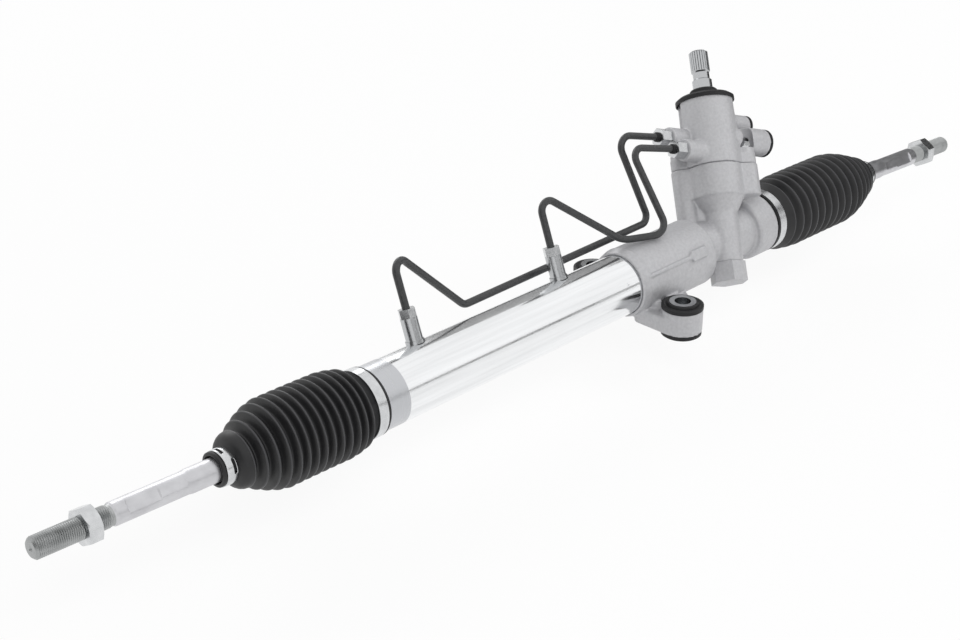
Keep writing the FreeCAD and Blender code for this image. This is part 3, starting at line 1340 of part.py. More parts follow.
# Pipes between the cylinder's ports and the valve
def build_pipes():
    lean = Rotation(Vector(1, 0, 0), -float(d.port_lean))
    seat = float(d.tube_radius) - 0.6 + float(d.port_boss_height)
    bend = float(d.pipe_bend_radius)
    hump = float(d.pipe_hump_radius)
    rise = float(d.pipe_hump_rise)
    straight = float(d.pipe_last_straight)

    def port_top(station, above):
        return at(station, 0, 0, lean).multVec(Vector(0, 0, seat + above))

    def line_end(name, back, reach, out):
        return TOWER.multVec(Vector(-float(reach) - out, float(back), float(port_height(name))))

    routes = [
        ("upper", port_top(d.left_port_position, 0), [
            (port_top(d.left_port_position, rise), hump),
            (Vector(*UPPER_PIPE_CORNERS[0]), bend),
            (Vector(*UPPER_PIPE_CORNERS[1]), bend - 2),
            (Vector(*UPPER_PIPE_CORNERS[2]), bend),
            (line_end("upper_line", d.upper_line_back, d.upper_line_reach, straight), 3 * bend),
        ], line_end("upper_line", d.upper_line_back, d.upper_line_reach, 0)),
        ("lower", port_top(d.right_port_position, 0), [
            (port_top(d.right_port_position, rise), hump),
            (Vector(*LOWER_PIPE_CORNERS[0]), 2.6 * bend),
            (Vector(*LOWER_PIPE_CORNERS[1]), bend + 1),
            (Vector(*LOWER_PIPE_CORNERS[2]), bend),
            (line_end("lower_line", d.lower_line_back, d.lower_line_reach, straight), 3 * bend),
        ], line_end("lower_line", d.lower_line_back, d.lower_line_reach, 0)),
    ]
    for name, start, corners, finish in routes:
        pipe = bent_tube(start, corners, finish, float(d.pipe_radius), float(d.pipe_wall))
        keep(feature(name + "_pipe", pipe), name + "_pressure_pipe")

    nuts = []
    for side, station in (("left", d.left_port_position), ("right", d.right_port_position)):
        place = at(station, 0, 0, lean) * at(0, 0, seat)
        blank = hexagon(side + "_flare_hex", d.flare_nut_flats, d.flare_nut_height, place)
        shank = cylinder(side + "_flare_shank", d.pipe_radius + 1.2, d.flare_nut_shank,
                         place * at(0, 0, -float(d.flare_nut_shank)))
        solid = fuse(side + "_flare_blank", [blank, shank])
        bore = cylinder(side + "_flare_bore", d.pipe_radius, 40, place * at(0, 0, -20))
        nuts.append(cut(side + "_flare_nut", solid, [bore]))
    keep(group("flare_nuts", nuts), "cylinder_pipe_nuts")

    nuts = []
    for name, level, back, reach in (
            ("upper", port_height("upper_line"), d.upper_line_back, d.upper_line_reach),
            ("lower", port_height("lower_line"), d.lower_line_back, d.lower_line_reach)):
        place = tower_out(-1, level, back) * at(0, 0, reach)
        blank = hexagon(name + "_line_hex", d.line_nut_flats, d.line_nut_height, place)
        shank = cylinder(name + "_line_shank", d.pipe_radius + 2, 8, place * at(0, 0, -8))
        solid = fuse(name + "_line_blank", [blank, shank])
        bore = cylinder(name + "_line_bore", d.pipe_radius, 60, place * at(0, 0, -20))
        nuts.append(cut(name + "_line_nut", solid, [bore]))
    keep(group("line_nuts", nuts), "valve_pipe_nuts")


build_cylinder()
build_rack()
build_tie_rod("left", d.left_ball_centre, d.rack_left_end, -1)
build_tie_rod("right", d.right_ball_centre, d.rack_right_end, 1)
build_boot("left", d.end_cap_shoulder, -1, d.left_ball_centre)
build_boot("right", d.housing_shoulder, 1, d.right_ball_centre)
build_rack_housing()
build_valve_housing()
build_pinion()
build_tower_covers()
build_rack_guide()
build_bushes()
build_pipes()

doc.recompute()
for obj in doc.Objects:
    if "Invalid" in obj.State or "Error" in obj.State:
        raise RuntimeError("failed object: " + obj.Name)
os.makedirs("parts", exist_ok=True)
for obj in made:
    if obj.Shape.isNull() or not obj.Shape.isValid():
        raise RuntimeError("bad shape: " + obj.Label)
for obj in made:
    obj.Shape.exportStep("parts/" + obj.Label + ".step")
    print(obj.Label, len(obj.Shape.Solids), round(obj.Shape.Volume, 1))
print(len(made), "parts")
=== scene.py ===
"""Looks of a hydraulic power steering rack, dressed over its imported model.

Lengths are in metres, in the part's own frame. The rack's centre line runs along +X; stations
along it are counted from the mouth of the rack housing, as in the part's source.
"""
import math

import bmesh
import bpy
from mathutils import Matrix, Vector
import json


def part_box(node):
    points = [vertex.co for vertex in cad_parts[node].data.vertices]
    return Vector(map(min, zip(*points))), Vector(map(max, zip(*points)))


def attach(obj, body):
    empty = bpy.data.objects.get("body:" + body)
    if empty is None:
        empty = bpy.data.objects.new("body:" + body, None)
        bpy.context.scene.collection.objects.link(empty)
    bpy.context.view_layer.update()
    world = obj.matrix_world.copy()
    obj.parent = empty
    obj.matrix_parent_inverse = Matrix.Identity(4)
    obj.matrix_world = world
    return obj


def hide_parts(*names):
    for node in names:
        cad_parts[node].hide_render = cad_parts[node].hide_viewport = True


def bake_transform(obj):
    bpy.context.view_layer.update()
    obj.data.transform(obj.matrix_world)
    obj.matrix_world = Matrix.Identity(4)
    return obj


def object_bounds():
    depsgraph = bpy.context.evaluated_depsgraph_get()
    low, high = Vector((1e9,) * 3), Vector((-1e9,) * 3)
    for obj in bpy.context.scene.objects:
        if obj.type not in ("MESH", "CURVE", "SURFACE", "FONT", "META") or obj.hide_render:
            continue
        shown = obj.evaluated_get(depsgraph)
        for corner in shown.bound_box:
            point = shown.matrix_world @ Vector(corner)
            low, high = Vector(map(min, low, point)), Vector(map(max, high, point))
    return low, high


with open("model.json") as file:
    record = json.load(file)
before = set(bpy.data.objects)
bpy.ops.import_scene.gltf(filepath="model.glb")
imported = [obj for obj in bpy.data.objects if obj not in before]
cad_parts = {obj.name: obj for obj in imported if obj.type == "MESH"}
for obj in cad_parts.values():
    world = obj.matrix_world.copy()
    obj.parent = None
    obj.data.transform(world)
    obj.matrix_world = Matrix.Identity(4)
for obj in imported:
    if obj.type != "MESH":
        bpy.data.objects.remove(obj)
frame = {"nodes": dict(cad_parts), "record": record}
cad_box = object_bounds()

MM = 0.001
# The two ends of the rack, and which way along X each points
SIDES = (("left", -1), ("right", 1))

# The rack's centre line, from the cylinder tube's box and the station of its right end
TUBE_RIGHT_STATION = 30.0 * MM
tube_low, tube_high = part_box("cylinder_tube")
RACK = Vector((tube_high.x - TUBE_RIGHT_STATION, (tube_low.y + tube_high.y) / 2,
               (tube_low.z + tube_high.z) / 2))

joint_rows = {row["name"]: row for row in frame["record"]["behaviour"]["joints"]}
mount_rows = {row["name"]: row for row in frame["record"]["mounts"]}


def rod_line(side):
    """The inner ball's centre and the direction of the rod."""
    ball = Vector(joint_rows[side + "_ball_nod"]["pos_m"])
    return ball, Vector(mount_rows[side + "_tie_rod_end"]["axis"])


def square_to(along):
    """The direction square to a rod and to Y."""
    return along.cross(Vector((0, 1, 0))).normalized()


# The tower's frame: the pinion leans back and towards the right
TOWER_STATION = 127.5 * MM
TOWER_OFFSET = 14.5 * MM
TOWER_TILT = Matrix.Rotation(math.radians(-32.0), 4, "X")
TOWER_LEAN = Matrix.Rotation(math.radians(20.0), 4, "Y")
TOWER = (Matrix.Translation(RACK + Vector((TOWER_STATION, 0, 0))) @ TOWER_TILT
         @ Matrix.Translation((0, -TOWER_OFFSET, 0)) @ TOWER_LEAN)

# The photograph's viewpoint, measured from the rack's centre line
CAMERA_OFFSET = Vector((-0.9749, -0.8199, 0.6062))
CAMERA_RIGHT = Vector((0.70788, -0.70633, 0.0))
CAMERA_UP = Vector((0.31687, 0.31757, 0.89373))
CAMERA_FOCAL_PIXELS = 1711.3
CAMERA_CLIP_END = 20.0
IMAGE_WIDTH = 960
SENSOR_WIDTH = 36.0

WHITE = (1.0, 1.0, 1.0)
# How bright the room is as light, and how much of the floor's look is plain white
ROOM_LIGHT = 0.46
FLOOR_GLOW = 0.9
FLOOR_COLOUR = (0.93, 0.93, 0.93)
FLOOR_ROUGHNESS = 0.9
FLOOR_HALF_SIZE = 6.0
# Room under the rack for the tie rods when they hang at their lowest
FLOOR_DROP = 30 * MM

# Lamps: name, place, target, size, watts, and whether metal mirrors them
LIGHTS = (
    ("key", (-1.1, -1.5, 2.0), (0, 0, 0), (1.6, 1.2), 22, False),
    ("fill", (1.6, -1.0, 1.4), (0.1, 0, 0), (1.4, 1.0), 20, False),
    ("rim", (0.4, 1.9, 1.3), (0, 0, 0.05), (2.2, 0.8), 12, True),
)
# Studio cards that give the polished tube its bands: name, shade and corners
FLAGS = (
    ("back_flag", 0.3,
     ((0.3, 0.9, -0.04), (2.2, 0.9, -0.04), (2.2, 0.9, 1.1), (0.6, 0.9, 1.1))),
    ("table_edge_flag", 0.02,
     ((-1.0, -1.6, 0.23), (3.0, -1.6, 0.23), (3.0, -1.6, 0.36), (-1.0, -1.6, 0.36))),
    ("right_flag", 0.1,
     ((0.62, -0.3, -0.05), (0.62, 0.35, -0.05), (0.62, 0.35, 0.36), (0.62, -0.3, 0.36))),
    ("left_flag", 0.1,
     ((-1.7, -0.7, 0.0), (-1.7, 0.6, 0.0), (-1.7, 0.6, 1.0), (-1.7, -0.7, 1.0))),
)
FLAG_ROUGHNESS = 0.95


# Stage
def make_camera():
    data = bpy.data.cameras.new("photo_camera")
    data.sensor_width = SENSOR_WIDTH
    data.lens = CAMERA_FOCAL_PIXELS / IMAGE_WIDTH * SENSOR_WIDTH
    data.clip_end = CAMERA_CLIP_END
    camera = bpy.data.objects.new("photo_camera", data)
    back = CAMERA_RIGHT.cross(CAMERA_UP)
    spot = RACK + CAMERA_OFFSET
    rows = [(CAMERA_RIGHT[i], CAMERA_UP[i], back[i], spot[i]) for i in range(3)]
    camera.matrix_world = Matrix((*rows, (0, 0, 0, 1)))
    bpy.context.scene.collection.objects.link(camera)
    bpy.context.scene.camera = camera


def make_area_light(name, spot, target, size, watts, mirrored):
    data = bpy.data.lights.new(name, "AREA")
    data.shape = "RECTANGLE"
    data.size, data.size_y = size
    data.energy = watts
    light = bpy.data.objects.new(name, data)
    light.location = spot
    light.rotation_euler = (Vector(target) - Vector(spot)).to_track_quat("-Z", "Y").to_euler()
    light.visible_glossy = mirrored
    bpy.context.scene.collection.objects.link(light)


def light_path_share(tree, strength):
    """The strength for rays from the camera or mirrored or bent by metal and glass, else zero."""
    path = tree.nodes.new("ShaderNodeLightPath")
    looking = path.outputs["Is Camera Ray"]
    for ray in ("Is Glossy Ray", "Is Transmission Ray"):
        either = tree.nodes.new("ShaderNodeMath")
        either.operation = "MAXIMUM"
        tree.links.new(looking, either.inputs[0])
        tree.links.new(path.outputs[ray], either.inputs[1])
        looking = either.outputs[0]
    share = tree.nodes.new("ShaderNodeMath")
    share.operation = "MULTIPLY"
    share.inputs[1].default_value = strength
    tree.links.new(looking, share.inputs[0])
    return share.outputs[0]


def whiten_when_seen(tree, plain, white, strength, surface):
    """Shows the white shader to the rays that look at a surface, and the plain one to light."""
    white.inputs["Color"].default_value = (*WHITE, 1)
    white.inputs["Strength"].default_value = 1.0
    mix = tree.nodes.new("ShaderNodeMixShader")
    tree.links.new(light_path_share(tree, strength), mix.inputs["Fac"])
    tree.links.new(plain.outputs[0], mix.inputs[1])
    tree.links.new(white.outputs[0], mix.inputs[2])
    tree.links.new(mix.outputs[0], surface)


def make_world():
    """A soft white room: white to look at, and dimmer as light on the object."""
    world = bpy.data.worlds.new("studio")
    bpy.context.scene.world = world
    world.use_nodes = True
    tree = world.node_tree
    background = tree.nodes["Background"]
    background.inputs["Color"].default_value = (*WHITE, 1)
    background.inputs["Strength"].default_value = ROOM_LIGHT
    white = tree.nodes.new("ShaderNodeBackground")
    whiten_when_seen(tree, background, white, 1.0, tree.nodes["World Output"].inputs["Surface"])
    # Sampled as a lamp, the world would give mirrors its dimmer value in place of white
    world.cycles.sampling_method = "NONE"


def make_sheet(name, corners, material):
    """A flat sheet of the stage."""
    mesh = bpy.data.meshes.new(name)
    mesh.from_pydata(corners, [], [(0, 1, 2, 3)])
    mesh.materials.append(material)
    sheet = bpy.data.objects.new(name, mesh)
    bpy.context.scene.collection.objects.link(sheet)
    return sheet


def make_floor():
    """A pale sheet under the part. It looks white and keeps the part's shadow."""
    material = new_material("floor_paper", FLOOR_COLOUR, FLOOR_ROUGHNESS)
    tree = material.node_tree
    glow = tree.nodes.new("ShaderNodeEmission")
    whiten_when_seen(tree, shader_of(material), glow, FLOOR_GLOW,
                     tree.nodes["Material Output"].inputs["Surface"])
    size, level = FLOOR_HALF_SIZE, cad_box[0].z - FLOOR_DROP
    corners = ((-size, -size, level), (size, -size, level), (size, size, level), (-size, size, level))
    floor = make_sheet("floor", corners, material)


def make_flag(name, shade, corners):
    """A studio card that is seen only as a shade in the metal, never by the camera."""
    material = new_material(name + "_card", (shade, shade, shade), FLAG_ROUGHNESS)
    card = make_sheet(name, corners, material)
    card.visible_camera = False
    card.visible_shadow = False
    card.visible_diffuse = False


# Materials
# Most of a noise texture's values fall between these two
NOISE_LOW = 0.3
NOISE_HIGH = 0.7


def new_material(name, colour, roughness, metallic=0.0):
    material = bpy.data.materials.new(name)
    material.use_nodes = True
    shader = shader_of(material)
    shader.inputs["Base Color"].default_value = (*colour, 1)
    shader.inputs["Roughness"].default_value = roughness
    shader.inputs["Metallic"].default_value = metallic
    return material


def shader_of(material):
    return material.node_tree.nodes["Principled BSDF"]


def add_noise(material, scale, detail, stretch=(1, 1, 1)):
    """Noise in the part's frame; scale is in features per metre, stretched along an axis if asked."""
    tree = material.node_tree
    place = tree.nodes.new("ShaderNodeTexCoord")
    mapping = tree.nodes.new("ShaderNodeMapping")
    mapping.inputs["Scale"].default_value = stretch
    texture = tree.nodes.new("ShaderNodeTexNoise")
    texture.inputs["Scale"].default_value = scale
    texture.inputs["Detail"].default_value = detail
    tree.links.new(place.outputs["Object"], mapping.inputs["Vector"])
    tree.links.new(mapping.outputs["Vector"], texture.inputs["Vector"])
    return texture.outputs["Fac"]


def add_range(material, source, low, high, start=NOISE_LOW, end=NOISE_HIGH):
    """Spreads a source's values from start to end over low to high."""
    tree = material.node_tree
    node = tree.nodes.new("ShaderNodeMapRange")
    node.inputs["From Min"].default_value = start
    node.inputs["From Max"].default_value = end
    node.inputs["To Min"].default_value = low
    node.inputs["To Max"].default_value = high
    tree.links.new(source, node.inputs["Value"])
    return node.outputs["Result"]


def vary_roughness(material, source, low, high):
    spread = add_range(material, source, low, high)
    material.node_tree.links.new(spread, shader_of(material).inputs["Roughness"])


def vary_colour(material, source, dark, light, start=NOISE_LOW, end=NOISE_HIGH):
    tree = material.node_tree
    mix = tree.nodes.new("ShaderNodeMix")
    mix.data_type = "RGBA"
    mix.inputs["A"].default_value = (*dark, 1)
    mix.inputs["B"].default_value = (*light, 1)
    tree.links.new(add_range(material, source, 0.0, 1.0, start, end), mix.inputs["Factor"])
    tree.links.new(mix.outputs["Result"], shader_of(material).inputs["Base Color"])


def add_bump(material, sources):
    """Chains bumps of (source, height in metres)."""
    tree = material.node_tree
    normal = None
    for source, height in sources:
        node = tree.nodes.new("ShaderNodeBump")
        node.inputs["Distance"].default_value = height
        node.inputs["Strength"].default_value = 1.0
        tree.links.new(source, node.inputs["Height"])
        if normal:
            tree.links.new(normal, node.inputs["Normal"])
        normal = node.outputs["Normal"]
    tree.links.new(normal, shader_of(material).inputs["Normal"])


def make_cast_aluminium():
    """Matt grey die casting: a faint speckle, fine grain, and a surface that rolls a little."""
    material = new_material("cast_aluminium", (0.5, 0.5, 0.51), 0.5, 0.35)
    cloud = add_noise(material, 45, 4)
    grain = add_noise(material, 700, 5)
    speckle = add_noise(material, 420, 3)
    vary_colour(material, speckle, (0.475, 0.475, 0.49), (0.545, 0.545, 0.56))
    vary_roughness(material, grain, 0.42, 0.58)
    add_bump(material, [(cloud, 0.0002), (grain, 0.00012)])
    return material


def make_polished_tube():
    """Bright drawn steel, with faint lines along it."""
    material = new_material("polished_tube", (0.9, 0.91, 0.92), 0.17, 1.0)
    drawn = add_noise(material, 220, 3, (0.03, 1, 1))
    haze = add_noise(material, 30, 4)
    vary_colour(material, drawn, (0.82, 0.83, 0.84), (0.93, 0.94, 0.95))
    vary_roughness(material, haze, 0.13, 0.2)
    add_bump(material, [(drawn, 0.00001)])
    return material


def make_turned_aluminium():
    """Aluminium with lathe marks round the rack's axis."""
    material = new_material("turned_aluminium", (0.56, 0.57, 0.59), 0.3, 1.0)
    lathe_marks = add_noise(material, 900, 2, (1, 0.02, 0.02))
    vary_roughness(material, lathe_marks, 0.26, 0.34)
    add_bump(material, [(lathe_marks, 0.000002)])
    return material


def make_ground_steel():
    material = new_material("ground_steel", (0.5, 0.51, 0.52), 0.25, 1.0)
    marks = add_noise(material, 700, 3)
    vary_roughness(material, marks, 0.16, 0.26)
    add_bump(material, [(marks, 0.000004)])
    return material


def make_zinc_plate():
    """Bright zinc plating, a little cloudy and scuffed."""
    material = new_material("zinc_plate", (0.66, 0.67, 0.68), 0.26, 1.0)
    cloud = add_noise(material, 160, 3)
    scuffs = add_noise(material, 900, 3)
    vary_colour(material, cloud, (0.58, 0.59, 0.6), (0.7, 0.71, 0.72))
    vary_roughness(material, scuffs, 0.18, 0.28)
    add_bump(material, [(scuffs, 0.000003)])
    return material


def make_rod_zinc():
    """Zinc over a forged rod: satin, with faint marks along it."""
    material = new_material("rod_zinc", (0.62, 0.62, 0.64), 0.34, 0.9)
    cloud = add_noise(material, 70, 4)
    marks = add_noise(material, 500, 3, (0.3, 1, 1))
    vary_colour(material, cloud, (0.56, 0.56, 0.58), (0.66, 0.66, 0.68))
    vary_roughness(material, marks, 0.3, 0.44)
    add_bump(material, [(marks, 0.00002)])
    return material


def make_thread_steel():
    """Bare rolled steel under a film of oil."""
    material = new_material("thread_steel", (0.36, 0.37, 0.37), 0.36, 0.95)
    oil = add_noise(material, 130, 4)
    vary_colour(material, oil, (0.34, 0.35, 0.35), (0.46, 0.47, 0.47))
    vary_roughness(material, oil, 0.3, 0.46)
    add_bump(material, [(oil, 0.00001)])
    return material


def make_pipe_coating():
    """Black coating, slightly rippled, over the steel pipes."""
    material = new_material("pipe_coating", (0.035, 0.036, 0.038), 0.34)
    ripple = add_noise(material, 500, 4)
    vary_colour(material, ripple, (0.026, 0.027, 0.028), (0.05, 0.051, 0.053))
    vary_roughness(material, ripple, 0.28, 0.44)
    add_bump(material, [(ripple, 0.00004)])
    return material


def make_black_rubber():
    """Dull rubber of the bushes, the dust cover and the seals, with a faint bloom."""
    material = new_material("black_rubber", (0.018, 0.018, 0.019), 0.52)
    bloom = add_noise(material, 120, 5)
    grain = add_noise(material, 2200, 2)
    vary_colour(material, bloom, (0.014, 0.014, 0.015), (0.024, 0.024, 0.025))
    vary_roughness(material, bloom, 0.42, 0.6)
    shader_of(material).inputs["Specular IOR Level"].default_value = 0.25
    add_bump(material, [(grain, 0.00003)])
    return material


def make_boot_rubber():
    """Charcoal rubber with a painted sheen: the tops of the folds are painted paler, read from the mesh's
    own crest attribute.
    """
    material = new_material("boot_rubber", (0.02, 0.02, 0.022), 0.45)
    crest = material.node_tree.nodes.new("ShaderNodeAttribute")
    crest.attribute_name = "crest"
    # Painted sheen: only the fold tops are lifted from near black towards a paler grey
    vary_colour(material, crest.outputs["Fac"], (0.009, 0.009, 0.01), (0.05, 0.05, 0.054), 0.9, 1.0)
    bloom = add_noise(material, 90, 5)
    grain = add_noise(material, 1800, 2)
    vary_roughness(material, bloom, 0.38, 0.52)
    add_bump(material, [(grain, 0.00003)])
    return material


def make_black_plastic():
    material = new_material("black_plastic", (0.013, 0.013, 0.014), 0.4)
    grain = add_noise(material, 1500, 3)
    vary_roughness(material, grain, 0.34, 0.5)
    shader_of(material).inputs["Specular IOR Level"].default_value = 0.3
    add_bump(material, [(grain, 0.00003)])
    return material


def make_bearing_plastic():
    """Off-white plastic of the hidden bushes and ball seats."""
    material = new_material("bearing_plastic", (0.72, 0.68, 0.58), 0.45)
    cloud = add_noise(material, 200, 4)
    vary_colour(material, cloud, (0.66, 0.62, 0.52), (0.76, 0.73, 0.63))
    vary_roughness(material, cloud, 0.38, 0.52)
    add_bump(material, [(cloud, 0.00003)])
    return material


def make_sintered_steel():
    """Dark porous steel of the rack guide."""
    material = new_material("sintered_steel", (0.3, 0.3, 0.31), 0.5, 1.0)
    pores = add_noise(material, 2500, 2)
    vary_colour(material, pores, (0.2, 0.2, 0.21), (0.34, 0.34, 0.35))
    vary_roughness(material, pores, 0.4, 0.6)
    add_bump(material, [(pores, 0.00005)])
    return material


MATERIALS = {
    "cast_aluminium": make_cast_aluminium(),
    "polished_tube": make_polished_tube(),
    "turned_aluminium": make_turned_aluminium(),
    "ground_steel": make_ground_steel(),
    "zinc_plate": make_zinc_plate(),
    "rod_zinc": make_rod_zinc(),
    "thread_steel": make_thread_steel(),
    "black_tube_paint": make_pipe_coating(),
    "black_rubber": make_black_rubber(),
    "boot_rubber": make_boot_rubber(),
    "black_plastic": make_black_plastic(),
    "bearing_plastic": make_bearing_plastic(),
    "sintered_guide": make_sintered_steel(),
}
# Nodes whose look differs from the rest of their material slot
SPECIAL_LOOKS = {
    "cylinder_end_cap": "turned_aluminium",
    "pinion_bottom_cap": "cast_aluminium",
    "cylinder_port_bosses": "ground_steel",
}


def dress_nodes():
    """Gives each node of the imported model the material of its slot, or its own special look."""
    slots = {row["node"]: row["material_slot"] for row in frame["record"]["subparts"]}
    for name, node in frame["nodes"].items():
        look = SPECIAL_LOOKS.get(name, slots[name])
        node.data.materials.clear()
        node.data.materials.append(MATERIALS[look])
        for polygon in node.data.polygons:
            polygon.material_index = 0


# Mesh helpers
def add_piece(name, mesh, material, body=None):
    """A new piece that rides on a body, if one is given."""
    piece = bpy.data.objects.new(name, mesh)
    bpy.context.scene.collection.objects.link(piece)
    mesh.materials.append(MATERIALS[material])
    if body:
        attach(piece, body)
    return piece


def smooth(mesh):
    for polygon in mesh.polygons:
        polygon.use_smooth = True


def orient_outward(mesh):
    shape = bmesh.new()
    shape.from_mesh(mesh)
    bmesh.ops.recalc_face_normals(shape, faces=shape.faces)
    shape.to_mesh(mesh)
    shape.free()


def turns(count):
    """The angles that share out one full turn."""
    return [2 * math.pi * i / count for i in range(count)]


def join_rings(here, there, segments):
    """The faces between two rings of points, which start at the points here and there."""
    faces = []
    for i in range(segments):
        j = (i + 1) % segments
        faces.append((here + i, here + j, there + j, there + i))
    return faces


def revolve_rings(name, rings, segments):
    """A closed skin over rings of (centre, radius) square to X, joined in order and back."""
    verts, faces = [], []
    for centre, radius in rings:
        for angle in turns(segments):
            spot = centre + Vector((0, radius * math.sin(angle), radius * math.cos(angle)))
            verts.append(tuple(spot))
    for k in range(len(rings)):
        faces += join_rings(k * segments, (k + 1) % len(rings) * segments, segments)
    mesh = bpy.data.meshes.new(name)
    mesh.from_pydata(verts, [], faces)
    smooth(mesh)
    return mesh


# Boots
BOOT_SEGMENTS = 96
BOOT_SHARP_ANGLE = math.radians(60)
BOOT_CRESTS = 14
BOOT_TAPER_CRESTS = 4
BOOT_SHOULDER_CRESTS = 2
BOOT_TAPER_POWER = 1.5
BOOT_FULL_RADIUS = 33.5 * MM
BOOT_TIP_RADIUS = 21.0 * MM
BOOT_SHOULDER_RADIUS = 31.0 * MM
BOOT_WALL = 1.6 * MM
BOOT_LEAST_INNER_RADIUS = 9.6 * MM
# How far outside its fixed end the skin starts, and how much more the band's radius is than the neck's
BOOT_SET_OUT = 1.1 * MM
BAND_OVER_NECK = 2.6 * MM
# Grooves: their depth, at most and as a share of the pitch, how narrow they are, and points a fold
GROOVE_DEPTH = 5.2 * MM
GROOVE_DEPTH_SHARE = 0.62
GROOVE_POWER = 2.2
FOLD_STEPS = 16
# The lip and the band's seat: (distance from the big end, radius over the neck, crest share), in mm
LIP_OUTLINE = ((0.0, 1.2, 0), (0.5, 2.4, 0.4), (2.4, 2.4, 0.4), (3.0, 1.4, 0), (15.0, 1.4, 0))
BAND_TO_CREST = 4.5 * MM
# The small cuff: (distance from the end, radius over the cuff's own, crest share), in mm
CUFF_OUTLINE = ((-10.8, 0.0, 0), (-2.6, 0.0, 0), (-2.3, 0.9, 0.3), (-0.6, 0.9, 0.3), (0.0, 0.1, 0))
CUFF_RADIUS = 11.9 * MM
CUFF_SEAT = 11.0 * MM
# The round end between the last crest and the cuff
CREST_TO_CUFF = 8.5 * MM
ROUND_END_FOOT = 1.0 * MM
ROUND_END_STEPS = 6
# The cuff's place on the rod, from the ball's centre
CUFF_START = 44.5 * MM
CUFF_LENGTH = 12.0 * MM
# How high the middle of a boot stands over the line between its ends, beyond this share of its length
BOOT_BOW = {"left": 1.2 * MM, "right": 0.6 * MM}
BOW_START = 0.1
# Where the skin is parted: not in roots this near its ends, with this much free of the bend each side
ROOT_MARGIN = 20 * MM
ROOT_GAP = 0.4 * MM
# Where the bends start and end: from the big end, and beyond the ball's centre
BELLOWS_BEND_START = 16 * MM
SWING_LENGTH = 21 * MM
NOD_BEND_END = 43 * MM


def crest_radius(from_tip):
    """The radius of a crest, counted from the rod's end."""
    from_band = BOOT_CRESTS - 1 - from_tip
    for count, crest, radius in ((BOOT_TAPER_CRESTS, from_tip, BOOT_TIP_RADIUS),
                                 (BOOT_SHOULDER_CRESTS, from_band, BOOT_SHOULDER_RADIUS)):
        if crest < count:
            share = (count - crest) / count
            return BOOT_FULL_RADIUS - (BOOT_FULL_RADIUS - radius) * share ** BOOT_TAPER_POWER
    return BOOT_FULL_RADIUS


def boot_profile(length, neck):
    """Points (distance from the big end, radius, crest share) of the outer skin. The crest share also marks
    where the boot's painted sheen falls.
    """
    points = [(x * MM, neck + rise * MM, crest) for x, rise, crest in LIP_OUTLINE]
    first = points[-1][0] + BAND_TO_CREST
    last = length - CUFF_SEAT - CREST_TO_CUFF
    pitch = (last - first) / (BOOT_CRESTS - 1)
    depth = min(GROOVE_DEPTH, GROOVE_DEPTH_SHARE * pitch)
    for k in range(BOOT_CRESTS - 1):
        here = crest_radius(BOOT_CRESTS - 1 - k)
        there = crest_radius(BOOT_CRESTS - 2 - k)
        for i in range(FOLD_STEPS):
            share = i / FOLD_STEPS
            dip = math.sin(math.pi * share) ** GROOVE_POWER
            radius = here + (there - here) * share - depth * dip
            is_root = 2 * i == FOLD_STEPS
            points.append((first + (k + share) * pitch, radius, 0 if is_root else 1 - dip))
    tip, foot = crest_radius(0), CUFF_RADIUS + ROUND_END_FOOT
    points.append((last, tip, 1))
    for i in range(1, ROUND_END_STEPS + 1):
        angle = math.pi / 2 * i / ROUND_END_STEPS
        radius = foot + (tip - foot) * math.cos(angle)
        points.append((last + CREST_TO_CUFF * math.sin(angle), radius, 0))
    return points + [(length + x * MM, CUFF_RADIUS + rise * MM, crest) for x, rise, crest in CUFF_OUTLINE]


def boot_parts(side, profile, to_ball):
    """The three lengths of a boot, parted at roots and named for the rack, the ball's seat and the rod.
    Each is its name, its first and last point, the two bodies it lies between, and where its bend
    starts and ends.
    """
    length = profile[-1][0]
    roots = [i for i, (distance, _, crest) in enumerate(profile)
             if crest == 0 and ROOT_MARGIN < distance < length - ROOT_MARGIN]
    first, second = [min(roots, key=lambda i: abs(profile[i][0] - target))
                     for target in (to_ball, to_ball + SWING_LENGTH)]
    first_root, second_root = profile[first][0], profile[second][0]
    return (
        ("bellows", 0, first, "housing", "rack", BELLOWS_BEND_START, first_root - ROOT_GAP),
        ("swing_folds", first, second, "rack", side + "_seat",
         first_root + ROOT_GAP, second_root - ROOT_GAP),
        ("nod_folds", second, len(profile) - 1, side + "_seat", side + "_rod",
         second_root + ROOT_GAP, to_ball + NOD_BEND_END),
    )


def make_boot(side, outward):
    ball, along = rod_line(side)
    fixed_ends = {row["node"]: row["fixed_end_x_m"] for row in joint_rows["rack_slide"]["deforming_nodes"]}
    big_end = fixed_ends[side + "_boot"] + outward * BOOT_SET_OUT
    cuff_end = ball + along * (CUFF_START + CUFF_LENGTH)
    length = abs(cuff_end.x - big_end)
    cuff_lift = cuff_end.z - RACK.z
    band_low, band_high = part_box(side + "_boot_band")
    profile = boot_profile(length, (band_high.y - band_low.y) / 2 - BAND_OVER_NECK)
    for row in boot_parts(side, profile, abs(ball.x - big_end)):
        part, low, high, body_before, body_after, bend_start, bend_end = row
        name = side + "_boot_" + part
        outer = profile[low:high + 1]
        inner = [(distance, max(radius - BOOT_WALL, BOOT_LEAST_INNER_RADIUS), 0)
                 for distance, radius, _ in outer[::-1]]
        rings, crest_sheen = [], []
        for distance, radius, crest in outer + inner:
            share = distance / length
            bow = BOOT_BOW[side] * math.sin(math.pi * min(1.0, share)) if share > BOW_START else 0
            lift = cuff_lift * share + bow
            rings.append((Vector((big_end + outward * distance, RACK.y, RACK.z + lift)), radius))
            crest_sheen += [crest] * BOOT_SEGMENTS
        mesh = revolve_rings(name, rings, BOOT_SEGMENTS)
        orient_outward(mesh)
        mesh.set_sharp_from_angle(angle=BOOT_SHARP_ANGLE)
        # The crest share is kept for the paint, which puts a painted sheen on the fold tops
        mesh.attributes.new("crest", "FLOAT", "POINT").data.foreach_set("value", crest_sheen)
        folds = add_piece(name, mesh, "boot_rubber")
        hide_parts(side + "_boot")
        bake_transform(folds)


